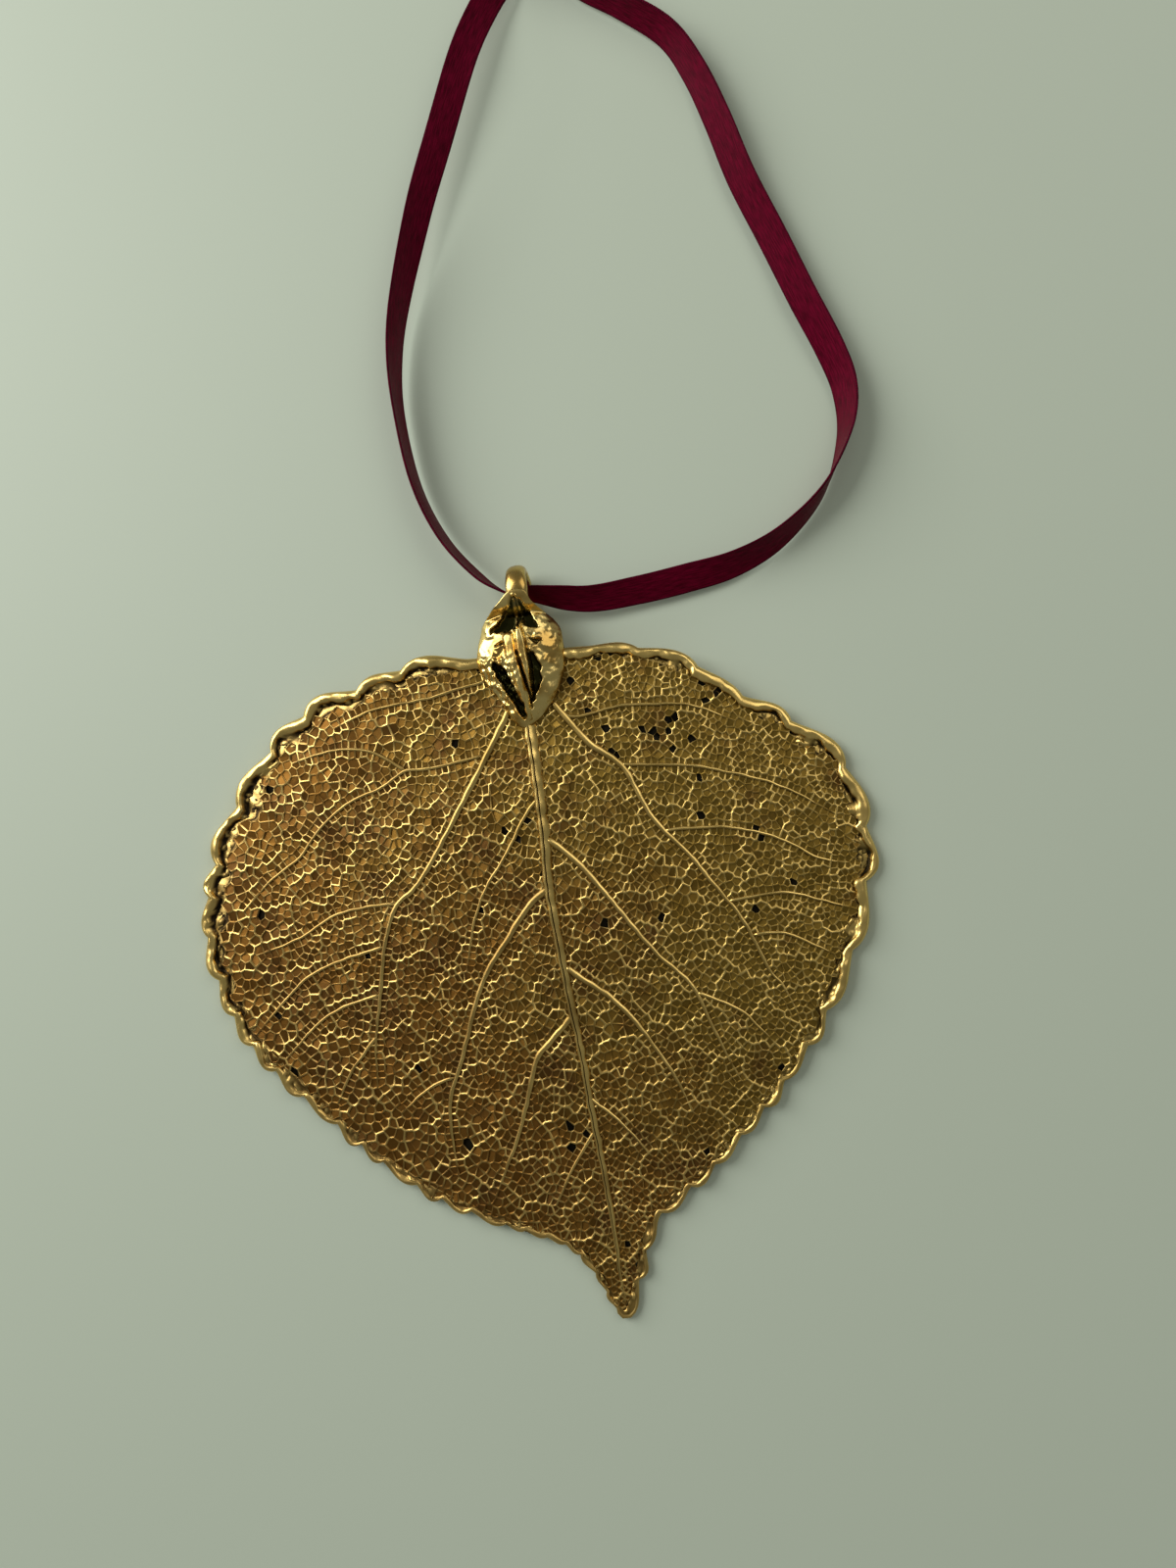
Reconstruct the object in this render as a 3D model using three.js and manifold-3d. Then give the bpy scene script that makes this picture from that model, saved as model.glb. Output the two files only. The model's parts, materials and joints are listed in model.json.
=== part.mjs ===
// Souvenir tree ornament: a real leaf plated in gold, held by its stalk in a pinched
// cap with a hanging loop, on a satin ribbon that is tied in a knot.
// Millimetres, +Z out of the face of the leaf, +Y towards the hanging loop.
// The pieces are drawn around the centre of the loop's eye; the whole is moved at the end
// so that the origin is under the middle of the leaf and cap, on the surface they rest on.
import * as THREE from "three";
import { mergeVertices } from "three/addons/utils/BufferGeometryUtils.js";
import Module from "manifold-3d";

const wasm = await Module();
wasm.setup();

// ---------- driving dimensions ----------
const FIT = 0.3; // clearance between pieces that touch

const LEAF_LENGTH = 67.4; // blade, from the stalk notch to the drip tip
const LEAF_LEFT = 38.5; // widest reach of the blade left of its midrib
const LEAF_RIGHT = 31.3; // widest reach right of the midrib
const BLADE_THICK = 0.6; // plated blade between its ribs
const BEAD_RADIUS = 0.55; // round bead of plating along the margin
const BEAD_WIDTH = 0.03; // share of the reach that the bead takes
const RIB_PROUD = 0.15; // height of a rib's centre over the middle of the blade
const MIDRIB_RADIUS = 0.6;
const SIDE_RIB_RADIUS = 0.45;
const RIB_TAPER = 0.45; // thickness of a rib at its far end, against its root
const STALK_RADIUS = 0.55;
const STALK_LENGTH = 2.4;

const EYE_RADIUS = 1.65; // hole of the hanging loop
const LOOP_WALL = 0.95;
const LOOP_WIDTH = 2.2; // width of the loop's strap, along the eye's axis
const LOOP_ROUND = 0.3; // rounding of the strap's edges
const TANG_LENGTH = 1.6; // part of the loop's foot that is pinched in the cap
const TANG_WIDTH = 2.0;

const CAP_WIDTH = 8.4;
const CAP_LENGTH = 10.9;
const CAP_FRONT_RISE = 1.5; // height of the front shell's crown over its rim
const CAP_RIM = 0.5; // thickness of either shell at its edge
const SOLDER_WIDTH = 2.0;
const SOLDER_LENGTH = 2.2;

const RIBBON_WIDTH = 3.0;
const RIBBON_THICK = 0.35;
const RIBBON_STEP = 4.0; // length of one straight piece of the ribbon's solid
const KNOT_RADII = [2.6, 3.2, 1.8];

// ---------- sizes that follow ----------
const LOOP_RADIUS = EYE_RADIUS + LOOP_WALL;
const EYE_HEIGHT = LOOP_RADIUS; // the loop stands on the surface the ornament lies on
const PINCH = BEAD_RADIUS + FIT; // half of the gap between the two shells
const CAP_TOP = -(LOOP_RADIUS + FIT);
const TANG_END = -(EYE_RADIUS + LOOP_WALL / 2 + TANG_LENGTH + FIT);
const STALK_TOP = TANG_END - FIT;
const LEAF_BASE = STALK_TOP - STALK_LENGTH - FIT;
const LEAF_TIP = LEAF_BASE - LEAF_LENGTH;
const REST_HEIGHT = BEAD_RADIUS; // middle of the blade where its margin touches down

// ---------- leaf outline ----------
// Each point is [reach across as a share of that side's half, way down as a share of the
// length]. The list runs clockwise from the stalk, down the right side to the drip tip and
// back up the left side.
const OUTLINE = [
  [0.0, 0.0], [0.13, -0.005], [0.32, 0.005], [0.5, 0.035], [0.66, 0.1], [0.82, 0.155],
  [0.95, 0.22], [1.0, 0.3], [0.985, 0.38], [0.93, 0.475], [0.83, 0.56], [0.71, 0.64],
  [0.56, 0.717], [0.39, 0.787], [0.25, 0.832], [0.15, 0.868], [0.1, 0.92], [0.05, 0.98],
  [0.025, 1.0], [0.0, 0.98], [-0.035, 0.935], [-0.1, 0.89], [-0.25, 0.85], [-0.42, 0.8],
  [-0.55, 0.745], [-0.68, 0.68], [-0.82, 0.6], [-0.925, 0.52], [-0.985, 0.43], [-1.0, 0.345],
  [-0.96, 0.255], [-0.88, 0.165], [-0.77, 0.09], [-0.62, 0.025], [-0.45, 0.0], [-0.3, -0.02],
  [-0.12, -0.01],
];

// Rounded teeth of the margin, in the same order: the share of the margin where each run of
// teeth ends, how many teeth it has and how far they stand out.
const MARGIN = [
  { end: 0.03, teeth: 1, depth: 0.0 },
  { end: 0.11, teeth: 4, depth: 0.5 },
  { end: 0.2, teeth: 6, depth: 0.8 },
  { end: 0.29, teeth: 7, depth: 0.6 },
  { end: 0.46, teeth: 14, depth: 0.55 },
  { end: 0.54, teeth: 6, depth: 0.25 },
  { end: 0.71, teeth: 14, depth: 0.55 },
  { end: 0.79, teeth: 6, depth: 0.8 },
  { end: 0.88, teeth: 6, depth: 1.1 },
  { end: 0.97, teeth: 3, depth: 1.0 },
  { end: 1.0, teeth: 1, depth: 0.0 },
];
const SAMPLES_PER_TOOTH = 3;

// Ribs of the leaf as [across, down] shares, the midrib first.
const MIDRIB = [[-0.015, 0.125], [-0.015, 0.27], [-0.02, 0.4], [-0.01, 0.55], [0.0, 0.7], [0.025, 0.96]];
const SIDE_RIBS = [
  [[-0.1, 0.11], [-0.33, 0.29], [-0.49, 0.39], [-0.55, 0.55], [-0.56, 0.61]],
  [[-0.19, 0.15], [-0.37, 0.145], [-0.62, 0.21], [-0.79, 0.285], [-0.87, 0.32]],
  [[-0.03, 0.355], [-0.15, 0.415], [-0.32, 0.59], [-0.375, 0.76]],
  [[-0.025, 0.555], [-0.125, 0.61], [-0.19, 0.7], [-0.26, 0.79]],
  [[0.1, 0.11], [0.26, 0.18], [0.43, 0.33], [0.58, 0.44], [0.68, 0.54]],
  [[0.26, 0.18], [0.46, 0.195], [0.75, 0.24], [0.9, 0.29]],
  [[0.0, 0.28], [0.19, 0.4], [0.38, 0.52], [0.49, 0.67]],
  [[0.0, 0.475], [0.21, 0.58], [0.32, 0.68]],
];

// ---------- ribbon route ----------
// Points from the eye to the knot as [x, y, height over the surface, roll in degrees]; the
// roll is 0 where the ribbon lies flat and 90 where it stands on its edge.
const LEFT_LEG = [
  [-1.5, 0.1, 2.6, 90], [-4.1, 2.2, 2.5, 90], [-7.2, 6.8, 2.3, 88], [-9.5, 13.5, 2.2, 86],
  [-10.4, 21.0, 2.3, 84], [-9.8, 27.5, 2.5, 72], [-8.0, 34.4, 2.7, 58], [-5.5, 41.4, 2.8, 42],
  [-2.5, 48.3, 2.8, 28], [1.3, 57.2, 2.5, 20], [4.3, 62.4, 2.1, 25], [7.7, 66.7, 1.8, 40],
];
const RIGHT_LEG = [
  [1.5, -0.4, 2.6, 55], [6.8, -1.6, 2.0, 38], [11.9, -1.5, 1.6, 28], [17.0, -1.0, 1.4, 26],
  [22.1, -0.2, 1.4, 42], [27.3, 1.9, 1.6, 62], [32.0, 5.7, 1.7, 84], [34.7, 11.0, 1.7, 112],
  [35.4, 15.6, 1.6, 138], [34.6, 20.0, 1.5, 152], [32.6, 26.0, 1.4, 160], [30.5, 32.5, 1.4, 160],
  [28.3, 39.2, 1.4, 156], [26.7, 45.7, 1.5, 148], [24.9, 51.4, 1.5, 138], [22.6, 56.0, 1.6, 128],
  [18.4, 59.9, 1.7, 118], [14.4, 62.9, 1.7, 115], [10.8, 66.8, 1.7, 118],
];
const KNOT = [9.2, 69.8];
const LEFT_TAIL = [[7.5, 72.7, 1.7, 30], [6.4, 76.0, 1.3, 18], [4.9, 79.6, 0.8, 8]];
const RIGHT_TAIL = [[10.7, 72.7, 1.6, 150], [11.9, 75.8, 1.2, 162], [13.6, 79.0, 0.8, 172]];

// ---------- finishes ----------
const GOLD = { color: 0xb98f3a, roughness: 0.28, metalness: 1 };
const SATIN = { color: 0x5e0a2a, roughness: 0.5, metalness: 0 };
const gold = (name) => new THREE.MeshStandardMaterial({ name, ...GOLD });
const satin = (name) => new THREE.MeshStandardMaterial({ name, ...SATIN });

// ---------- helpers ----------
const smooth = (t) => t * t * (3 - 2 * t);

/** A point of the leaf from its shares of the half width and of the length. */
function onLeaf([across, down]) {
  const reach = across < 0 ? LEAF_LEFT : LEAF_RIGHT;
  return new THREE.Vector2(across * reach, LEAF_BASE - down * LEAF_LENGTH);
}

/** Height of the middle of the blade: level in the cap, arched down to margin and tip. */
function bladeHeight(x, y) {
  const cappedPart = CAP_LENGTH / LEAF_LENGTH;
  const up = Math.min(1, Math.max(0, (y - LEAF_TIP) / LEAF_LENGTH) / (1 - cappedPart));
  const out = Math.min(1, Math.abs(x) / (x < 0 ? LEAF_LEFT : LEAF_RIGHT));
  return REST_HEIGHT + (EYE_HEIGHT - REST_HEIGHT) * smooth(up) * (1 - out * out);
}

/** The leaf's margin with its teeth, clockwise from the stalk. */
function marginPoints() {
  const knots = OUTLINE.map((p) => onLeaf(p)).map((p) => new THREE.Vector3(p.x, p.y, 0));
  const curve = new THREE.CatmullRomCurve3(knots, true, "centripetal");
  const points = [];
  let start = 0;
  for (const { end, teeth, depth } of MARGIN) {
    const samples = teeth * SAMPLES_PER_TOOTH;
    for (let i = 0; i < samples; i += 1) {
      const u = start + ((end - start) * i) / samples;
      const phase = (i % SAMPLES_PER_TOOTH) / SAMPLES_PER_TOOTH;
      const tangent = curve.getTangentAt(u);
      const outward = new THREE.Vector2(-tangent.y, tangent.x);
      const { x, y } = curve.getPointAt(u);
      const standOut = depth * Math.sin(Math.PI * phase);
      points.push(new THREE.Vector2(x, y).addScaledVector(outward, standOut));
    }
    start = end;
  }
  return points;
}

/**
 * A plate of any outline: a lathed disc whose rings are drawn out to the outline.
 * The profile is a list of [share of the reach, height], from the top's middle to the bottom's.
 */
function platedDisc(outline, centre, profile, height) {
  const section = profile.map(([share, z]) => new THREE.Vector2(share, z));
  const disc = new THREE.LatheGeometry(section, outline.length);
  const place = disc.attributes.position;
  for (let i = 0; i < place.count; i += 1) {
    const [share, z] = profile[i % profile.length];
    const spoke = outline[Math.floor(i / profile.length) % outline.length];
    const x = centre.x + share * (spoke.x - centre.x);
    const y = centre.y + share * (spoke.y - centre.y);
    place.setXYZ(i, x, y, z + height(x, y));
  }
  return closed(disc);
}

/** The geometry with its shared corners merged, so that it is one closed mesh. */
function closed(geometry) {
  const bare = geometry.index ? geometry.clone() : mergeVertices(geometry);
  bare.deleteAttribute("normal");
  bare.deleteAttribute("uv");
  return mergeVertices(bare, 1e-4);
}

/**
 * Lays a straight bar (its length along Y, its section in X and Z) along a curve.
 * widthAt gives the direction of the bar's X, and scaleAt the size of its section.
 */
function bend(bar, length, curve, widthAt, scaleAt) {
  const place = bar.attributes.position;
  for (let i = 0; i < place.count; i += 1) {
    const t = Math.min(1, Math.max(0, place.getY(i) / length + 0.5));
    const along = curve.getTangentAt(t);
    const side = widthAt(t, along);
    const face = new THREE.Vector3().crossVectors(side, along).normalize();
    const size = scaleAt(t);
    const at = curve.getPointAt(t);
    at.addScaledVector(side, place.getX(i) * size);
    at.addScaledVector(face, place.getZ(i) * size);
    place.setXYZ(i, at.x, at.y, at.z);
  }
  return closed(bar);
}

/** A manifold solid of a geometry, for joining and cutting. */
function solid(geometry) {
  const merged = closed(geometry);
  return new wasm.Manifold(
    new wasm.Mesh({
      numProp: 3,
      vertProperties: new Float32Array(merged.attributes.position.array),
      triVerts: new Uint32Array(merged.index.array),
    }),
  );
}

/** The geometry of a manifold solid. */
function geometryOf(manifold) {
  const mesh = manifold.getMesh();
  const geometry = new THREE.BufferGeometry();
  geometry.setAttribute("position", new THREE.BufferAttribute(new Float32Array(mesh.vertProperties), 3));
  geometry.setIndex(new THREE.BufferAttribute(new Uint32Array(mesh.triVerts), 1));
  return geometry;
}

/** A named piece in its own node. */
function piece(name, geometry, finish) {
  const mesh = new THREE.Mesh(geometry, finish(name));
  mesh.name = name;
  return mesh;
}

// ---------- leaf ----------
/** A tapering rib that follows the blade. */
function rib(shares, radius) {
  const points = shares.map((p) => onLeaf(p)).map(({ x, y }) =>
    new THREE.Vector3(x, y, bladeHeight(x, y) + RIB_PROUD));
  const curve = new THREE.CatmullRomCurve3(points);
  const length = curve.getLength();
  const steps = Math.ceil(length / RIBBON_STEP);
  const bar = new THREE.CylinderGeometry(radius, radius, length, 6, steps);
  const sideways = (t, along) => new THREE.Vector3(along.y, -along.x, 0).normalize();
  return solid(bend(bar, length, curve, sideways, (t) => 1 - (1 - RIB_TAPER) * t));
}

function leafBlade() {
  const half = BLADE_THICK / 2;
  const trough = 1 - 2.2 * BEAD_WIDTH;
  const crown = 1 - BEAD_WIDTH;
  const top = [[0, half], [0.7, half], [trough, half * 0.7], [crown, BEAD_RADIUS]];
  const bottom = top.toReversed().map(([share, z]) => [share, -z]);
  const middle = onLeaf([-0.05, 0.42]);
  const blade = solid(platedDisc(marginPoints(), middle, [...top, [1, 0], ...bottom], bladeHeight));
  const ribs = [rib(MIDRIB, MIDRIB_RADIUS), ...SIDE_RIBS.map((shares) => rib(shares, SIDE_RIB_RADIUS))];
  return geometryOf(ribs.reduce((leaf, one) => leaf.add(one), blade));
}

function leafStalk() {
  const stalk = new THREE.CylinderGeometry(STALK_RADIUS, STALK_RADIUS * 0.9, STALK_LENGTH, 12);
  stalk.translate(0, STALK_TOP - STALK_LENGTH / 2, EYE_HEIGHT);
  return stalk;
}

// ---------- cap ----------
/** Outline of both shells: a shield with rounded shoulders and a pointed foot. */
function shieldOutline() {
  const right = [[0.16, 0], [0.42, 0.06], [0.88, 0.2], [1.0, 0.4], [0.93, 0.6], [0.68, 0.78], [0.3, 0.93]];
  const left = right.toReversed().map(([across, down]) => [-across, down]);
  const shares = [[0, -0.01], ...right, [0, 1], ...left];
  const knots = shares.map(([across, down]) =>
    new THREE.Vector3((across * CAP_WIDTH) / 2, CAP_TOP - down * CAP_LENGTH, 0));
  const curve = new THREE.CatmullRomCurve3(knots, true, "centripetal");
  return curve.getSpacedPoints(36).slice(0, -1).map((p) => new THREE.Vector2(p.x, p.y));
}

const CAP_MIDDLE = new THREE.Vector2(0, CAP_TOP - CAP_LENGTH * 0.42);

function capFront() {
  const rise = CAP_FRONT_RISE;
  const profile = [
    [0, rise], [0.3, rise * 0.93], [0.6, rise * 0.75], [0.85, CAP_RIM * 1.25], [1, CAP_RIM * 0.6],
    [0.94, 0], [0, 0],
  ];
  return platedDisc(shieldOutline(), CAP_MIDDLE, profile, () => EYE_HEIGHT + PINCH);
}

function capBack() {
  const depth = EYE_HEIGHT - PINCH;
  const profile = [[0, depth], [0.94, depth], [1, depth - CAP_RIM * 0.6], [0.9, CAP_RIM], [0.66, 0], [0, 0]];
  return platedDisc(shieldOutline(), CAP_MIDDLE, profile, () => 0);
}

function capLoop() {
  const half = LOOP_WIDTH / 2;
  const section = [
    [EYE_RADIUS, -half + LOOP_ROUND], [EYE_RADIUS + LOOP_ROUND, -half], [LOOP_RADIUS - LOOP_ROUND, -half],
    [LOOP_RADIUS, -half + LOOP_ROUND], [LOOP_RADIUS, half - LOOP_ROUND], [LOOP_RADIUS - LOOP_ROUND, half],
    [EYE_RADIUS + LOOP_ROUND, half], [EYE_RADIUS, half - LOOP_ROUND], [EYE_RADIUS, -half + LOOP_ROUND],
  ];
  const ring = new THREE.LatheGeometry(section.map(([r, a]) => new THREE.Vector2(r, a)), 28);
  ring.rotateZ(-Math.PI / 2);
  const tangTop = -(EYE_RADIUS + LOOP_WALL / 2);
  const tang = new THREE.BoxGeometry(TANG_WIDTH, tangTop - TANG_END, BEAD_RADIUS * 2);
  tang.translate(0, (tangTop + TANG_END) / 2, 0);
  const loop = solid(ring).add(solid(tang));
  return geometryOf(loop).translate(0, 0, EYE_HEIGHT);
}

/** A bead of solder that closes the side of the cap between its shells. */
function solderBead(side) {
  const bead = new THREE.SphereGeometry(1, 12, 8);
  bead.scale(SOLDER_WIDTH / 2, SOLDER_LENGTH / 2, BEAD_RADIUS);
  const clearOfTang = TANG_WIDTH / 2 + FIT + SOLDER_WIDTH / 2;
  const clearOfLeaf = LEAF_BASE + BEAD_RADIUS + 2 * FIT + SOLDER_LENGTH / 2;
  return closed(bead.translate(side * clearOfTang, clearOfLeaf, EYE_HEIGHT));
}

// ---------- ribbon ----------
/** A flat strap of ribbon along route points that also give its roll. */
function strap(route, width) {
  const curve = new THREE.CatmullRomCurve3(route.map(([x, y, z]) => new THREE.Vector3(x, y, z)));
  const lean = new THREE.CatmullRomCurve3(route.map(([x, y, , roll]) => new THREE.Vector3(x, y, roll)));
  const length = curve.getLength();
  const steps = Math.ceil(length / RIBBON_STEP);
  const bar = new THREE.BoxGeometry(width, length, RIBBON_THICK, 1, steps, 1);
  const widthAt = (t, along) => {
    const roll = THREE.MathUtils.degToRad(lean.getPoint(curve.getUtoTmapping(t)).z);
    const lateral = new THREE.Vector3(-along.y, along.x, 0).normalize();
    const upright = new THREE.Vector3().crossVectors(along, lateral).normalize();
    return lateral.multiplyScalar(-Math.cos(roll)).addScaledVector(upright, -Math.sin(roll)).normalize();
  };
  return bend(bar, length, curve, widthAt, () => 1);
}

/** The stretch of ribbon inside the eye, gathered to pass through it. */
function ribbonInLoop() {
  const reach = LOOP_WIDTH / 2 + FIT / 2;
  const bunched = 2 * (EYE_RADIUS - FIT) * 0.92;
  const route = [[-reach, 0.1, EYE_HEIGHT, 90], [0, -0.15, EYE_HEIGHT, 80], [reach, -0.4, EYE_HEIGHT, 62]];
  return strap(route, bunched);
}

function ribbonKnot() {
  const knot = new THREE.SphereGeometry(1, 16, 10);
  return closed(knot.scale(...KNOT_RADII).translate(KNOT[0], KNOT[1], KNOT_RADII[2]));
}

// ---------- assembly ----------
const leafAndCap = new THREE.Group();
leafAndCap.add(
  piece("leaf_blade", leafBlade(), gold),
  piece("leaf_stalk", leafStalk(), gold),
  piece("cap_front", capFront(), gold),
  piece("cap_back", capBack(), gold),
  piece("cap_loop", capLoop(), gold),
  piece("solder_left", solderBead(-1), gold),
  piece("solder_right", solderBead(1), gold),
);

const ribbon = new THREE.Group();
ribbon.add(
  piece("ribbon_in_loop", ribbonInLoop(), satin),
  piece("ribbon_left_leg", strap(LEFT_LEG, RIBBON_WIDTH), satin),
  piece("ribbon_right_leg", strap(RIGHT_LEG, RIBBON_WIDTH), satin),
  piece("ribbon_knot", ribbonKnot(), satin),
  piece("ribbon_tail_left", strap(LEFT_TAIL, RIBBON_WIDTH), satin),
  piece("ribbon_tail_right", strap(RIGHT_TAIL, RIBBON_WIDTH), satin),
);

const ornament = new THREE.Group();
const extent = new THREE.Box3().setFromObject(leafAndCap, true);
const middle = extent.getCenter(new THREE.Vector3());
ornament.add(leafAndCap, ribbon);
ornament.position.set(-middle.x, -middle.y, -extent.min.z);

const model = new THREE.Group();
model.add(ornament);
model.updateMatrixWorld(true);

export default model;
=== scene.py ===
"""Looks of a gold-plated leaf ornament on a satin ribbon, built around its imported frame."""

import json
import logging
import math
import random
from collections.abc import Callable, Sequence
from dataclasses import dataclass, field
from enum import Enum

import bmesh
import bpy
import numpy as np
from mathutils import Matrix, Vector, geometry, noise
from mathutils.kdtree import KDTree


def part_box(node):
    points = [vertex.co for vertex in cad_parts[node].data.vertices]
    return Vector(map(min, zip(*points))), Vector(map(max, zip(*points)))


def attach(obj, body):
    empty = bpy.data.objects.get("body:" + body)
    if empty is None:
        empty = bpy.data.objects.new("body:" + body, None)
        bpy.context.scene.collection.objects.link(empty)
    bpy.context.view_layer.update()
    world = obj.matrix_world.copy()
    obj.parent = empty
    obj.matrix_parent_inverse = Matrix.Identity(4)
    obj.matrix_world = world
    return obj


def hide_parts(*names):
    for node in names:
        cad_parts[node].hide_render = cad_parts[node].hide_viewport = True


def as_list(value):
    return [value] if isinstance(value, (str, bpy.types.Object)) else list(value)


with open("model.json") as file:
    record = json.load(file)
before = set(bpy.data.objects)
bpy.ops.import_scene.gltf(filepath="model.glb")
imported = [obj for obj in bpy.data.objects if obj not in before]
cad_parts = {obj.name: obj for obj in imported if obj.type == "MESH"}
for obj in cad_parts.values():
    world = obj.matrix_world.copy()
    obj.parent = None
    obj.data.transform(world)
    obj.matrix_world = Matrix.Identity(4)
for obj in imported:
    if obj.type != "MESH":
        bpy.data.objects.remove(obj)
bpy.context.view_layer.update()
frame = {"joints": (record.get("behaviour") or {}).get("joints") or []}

LOG = logging.getLogger("ornament")
MM = 0.001

Colour = tuple[float, float, float]
Spot = tuple[float, float, float]
Share = tuple[float, float]
RoutePoint = tuple[float, float, float, float]
Layer = bmesh.types.BMLayerItem

SEAM = 1e-8  # corners of a closed grid's seam that are nearer than this, in metres, become one


# ---------------------------------------------------------------- lines and meshes
def spline(points: np.ndarray, closed: bool, per_span: int = 12) -> np.ndarray:
    """Draws a smooth line through points.

    Args:
        points: One row per point, in any number of dimensions.
        closed: Whether the line returns to its first point.
        per_span: Samples between one point and the next.

    Returns:
        The samples, one per row; a closed line ends on its first point again.
    """
    count = len(points)
    spans = count if closed else count - 1
    rows = []
    for i in range(spans):
        picks = [i - 1, i, i + 1, i + 2]
        if closed:
            a, b, c, d = (points[k % count] for k in picks)
        else:
            a, b, c, d = (points[min(max(k, 0), count - 1)] for k in picks)
        for t in np.arange(per_span) / per_span:
            rows.append(
                0.5 * (2 * b + (c - a) * t + (2 * a - 5 * b + 4 * c - d) * t**2
                       + (3 * b - a - 3 * c + d) * t**3)
            )
    rows.append(points[0] if closed else points[-1])
    return np.array(rows)


def lengths_along(line: np.ndarray, axes: int) -> np.ndarray:
    """Running length at each row of a line whose first few columns, the axes, are places."""
    steps = np.linalg.norm(np.diff(line[:, :axes], axis=0), axis=1)
    return np.concatenate([[0.0], np.cumsum(steps)])


def at_lengths(line: np.ndarray, wanted: np.ndarray, axes: int) -> np.ndarray:
    """Samples a line at the wanted running lengths, one row for each."""
    run = lengths_along(line, axes)
    return np.stack([np.interp(wanted, run, line[:, k]) for k in range(line.shape[1])], axis=1)


def evenly(line: np.ndarray, count: int, axes: int) -> np.ndarray:
    """Samples a line at a count of equal steps, both ends included."""
    return at_lengths(line, np.linspace(0.0, lengths_along(line, axes)[-1], count), axes)


def smoothstep(low: float, high: float, value: float) -> float:
    """Smooth rise of a value from 0 at low to 1 at high; low may be the larger one."""
    t = min(1.0, max(0.0, (value - low) / (high - low)))
    return t * t * (3.0 - 2.0 * t)


def shaped_grid(
    around: int,
    along: int,
    place: Callable[[float, float], Vector],
    merge: float = SEAM,
    values: dict[str, Callable[[float, float], float]] | None = None,
) -> bmesh.types.BMesh:
    """A grid whose corners are drawn to a shape, with the seams that meet merged.

    Args:
        around: Faces along the grid's first direction.
        along: Faces along its second direction.
        place: Gives a corner's place from its two shares, each 0 to 1.
        merge: Distance under which corners become one.
        values: Numbers kept at each corner for the finish, by name, from the same shares.

    Returns:
        The new mesh.
    """
    bm = bmesh.new()
    bmesh.ops.create_grid(bm, x_segments=around, y_segments=along, size=0.5)
    layers = {bm.verts.layers.float.new(name): value for name, value in (values or {}).items()}
    for v in bm.verts:
        across, down = v.co.x + 0.5, v.co.y + 0.5
        for layer, value in layers.items():
            v[layer] = value(across, down)
        v.co = place(across, down)
    bmesh.ops.remove_doubles(bm, verts=bm.verts, dist=merge)
    return bm


def finished(
    name: str,
    bm: bmesh.types.BMesh,
    material: bpy.types.Material,
    flat: Callable[[bmesh.types.BMFace], bool] | None = None,
) -> bpy.types.Object:
    """Turns a mesh under construction into an object of the scene.

    Args:
        name: The piece's name.
        bm: Its mesh, which is freed.
        material: Its finish.
        flat: Tells which faces stay flat; the rest are shaded smooth.

    Returns:
        The new object, at the origin.
    """
    bmesh.ops.recalc_face_normals(bm, faces=bm.faces)
    for face in bm.faces:
        face.smooth = not (flat and flat(face))
    mesh = bpy.data.meshes.new(name)
    bm.to_mesh(mesh)
    bm.free()
    mesh.materials.append(material)
    piece = bpy.data.objects.new(name, mesh)
    bpy.context.scene.collection.objects.link(piece)
    LOG.info("%s: %d faces", name, len(mesh.polygons))
    return piece


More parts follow.
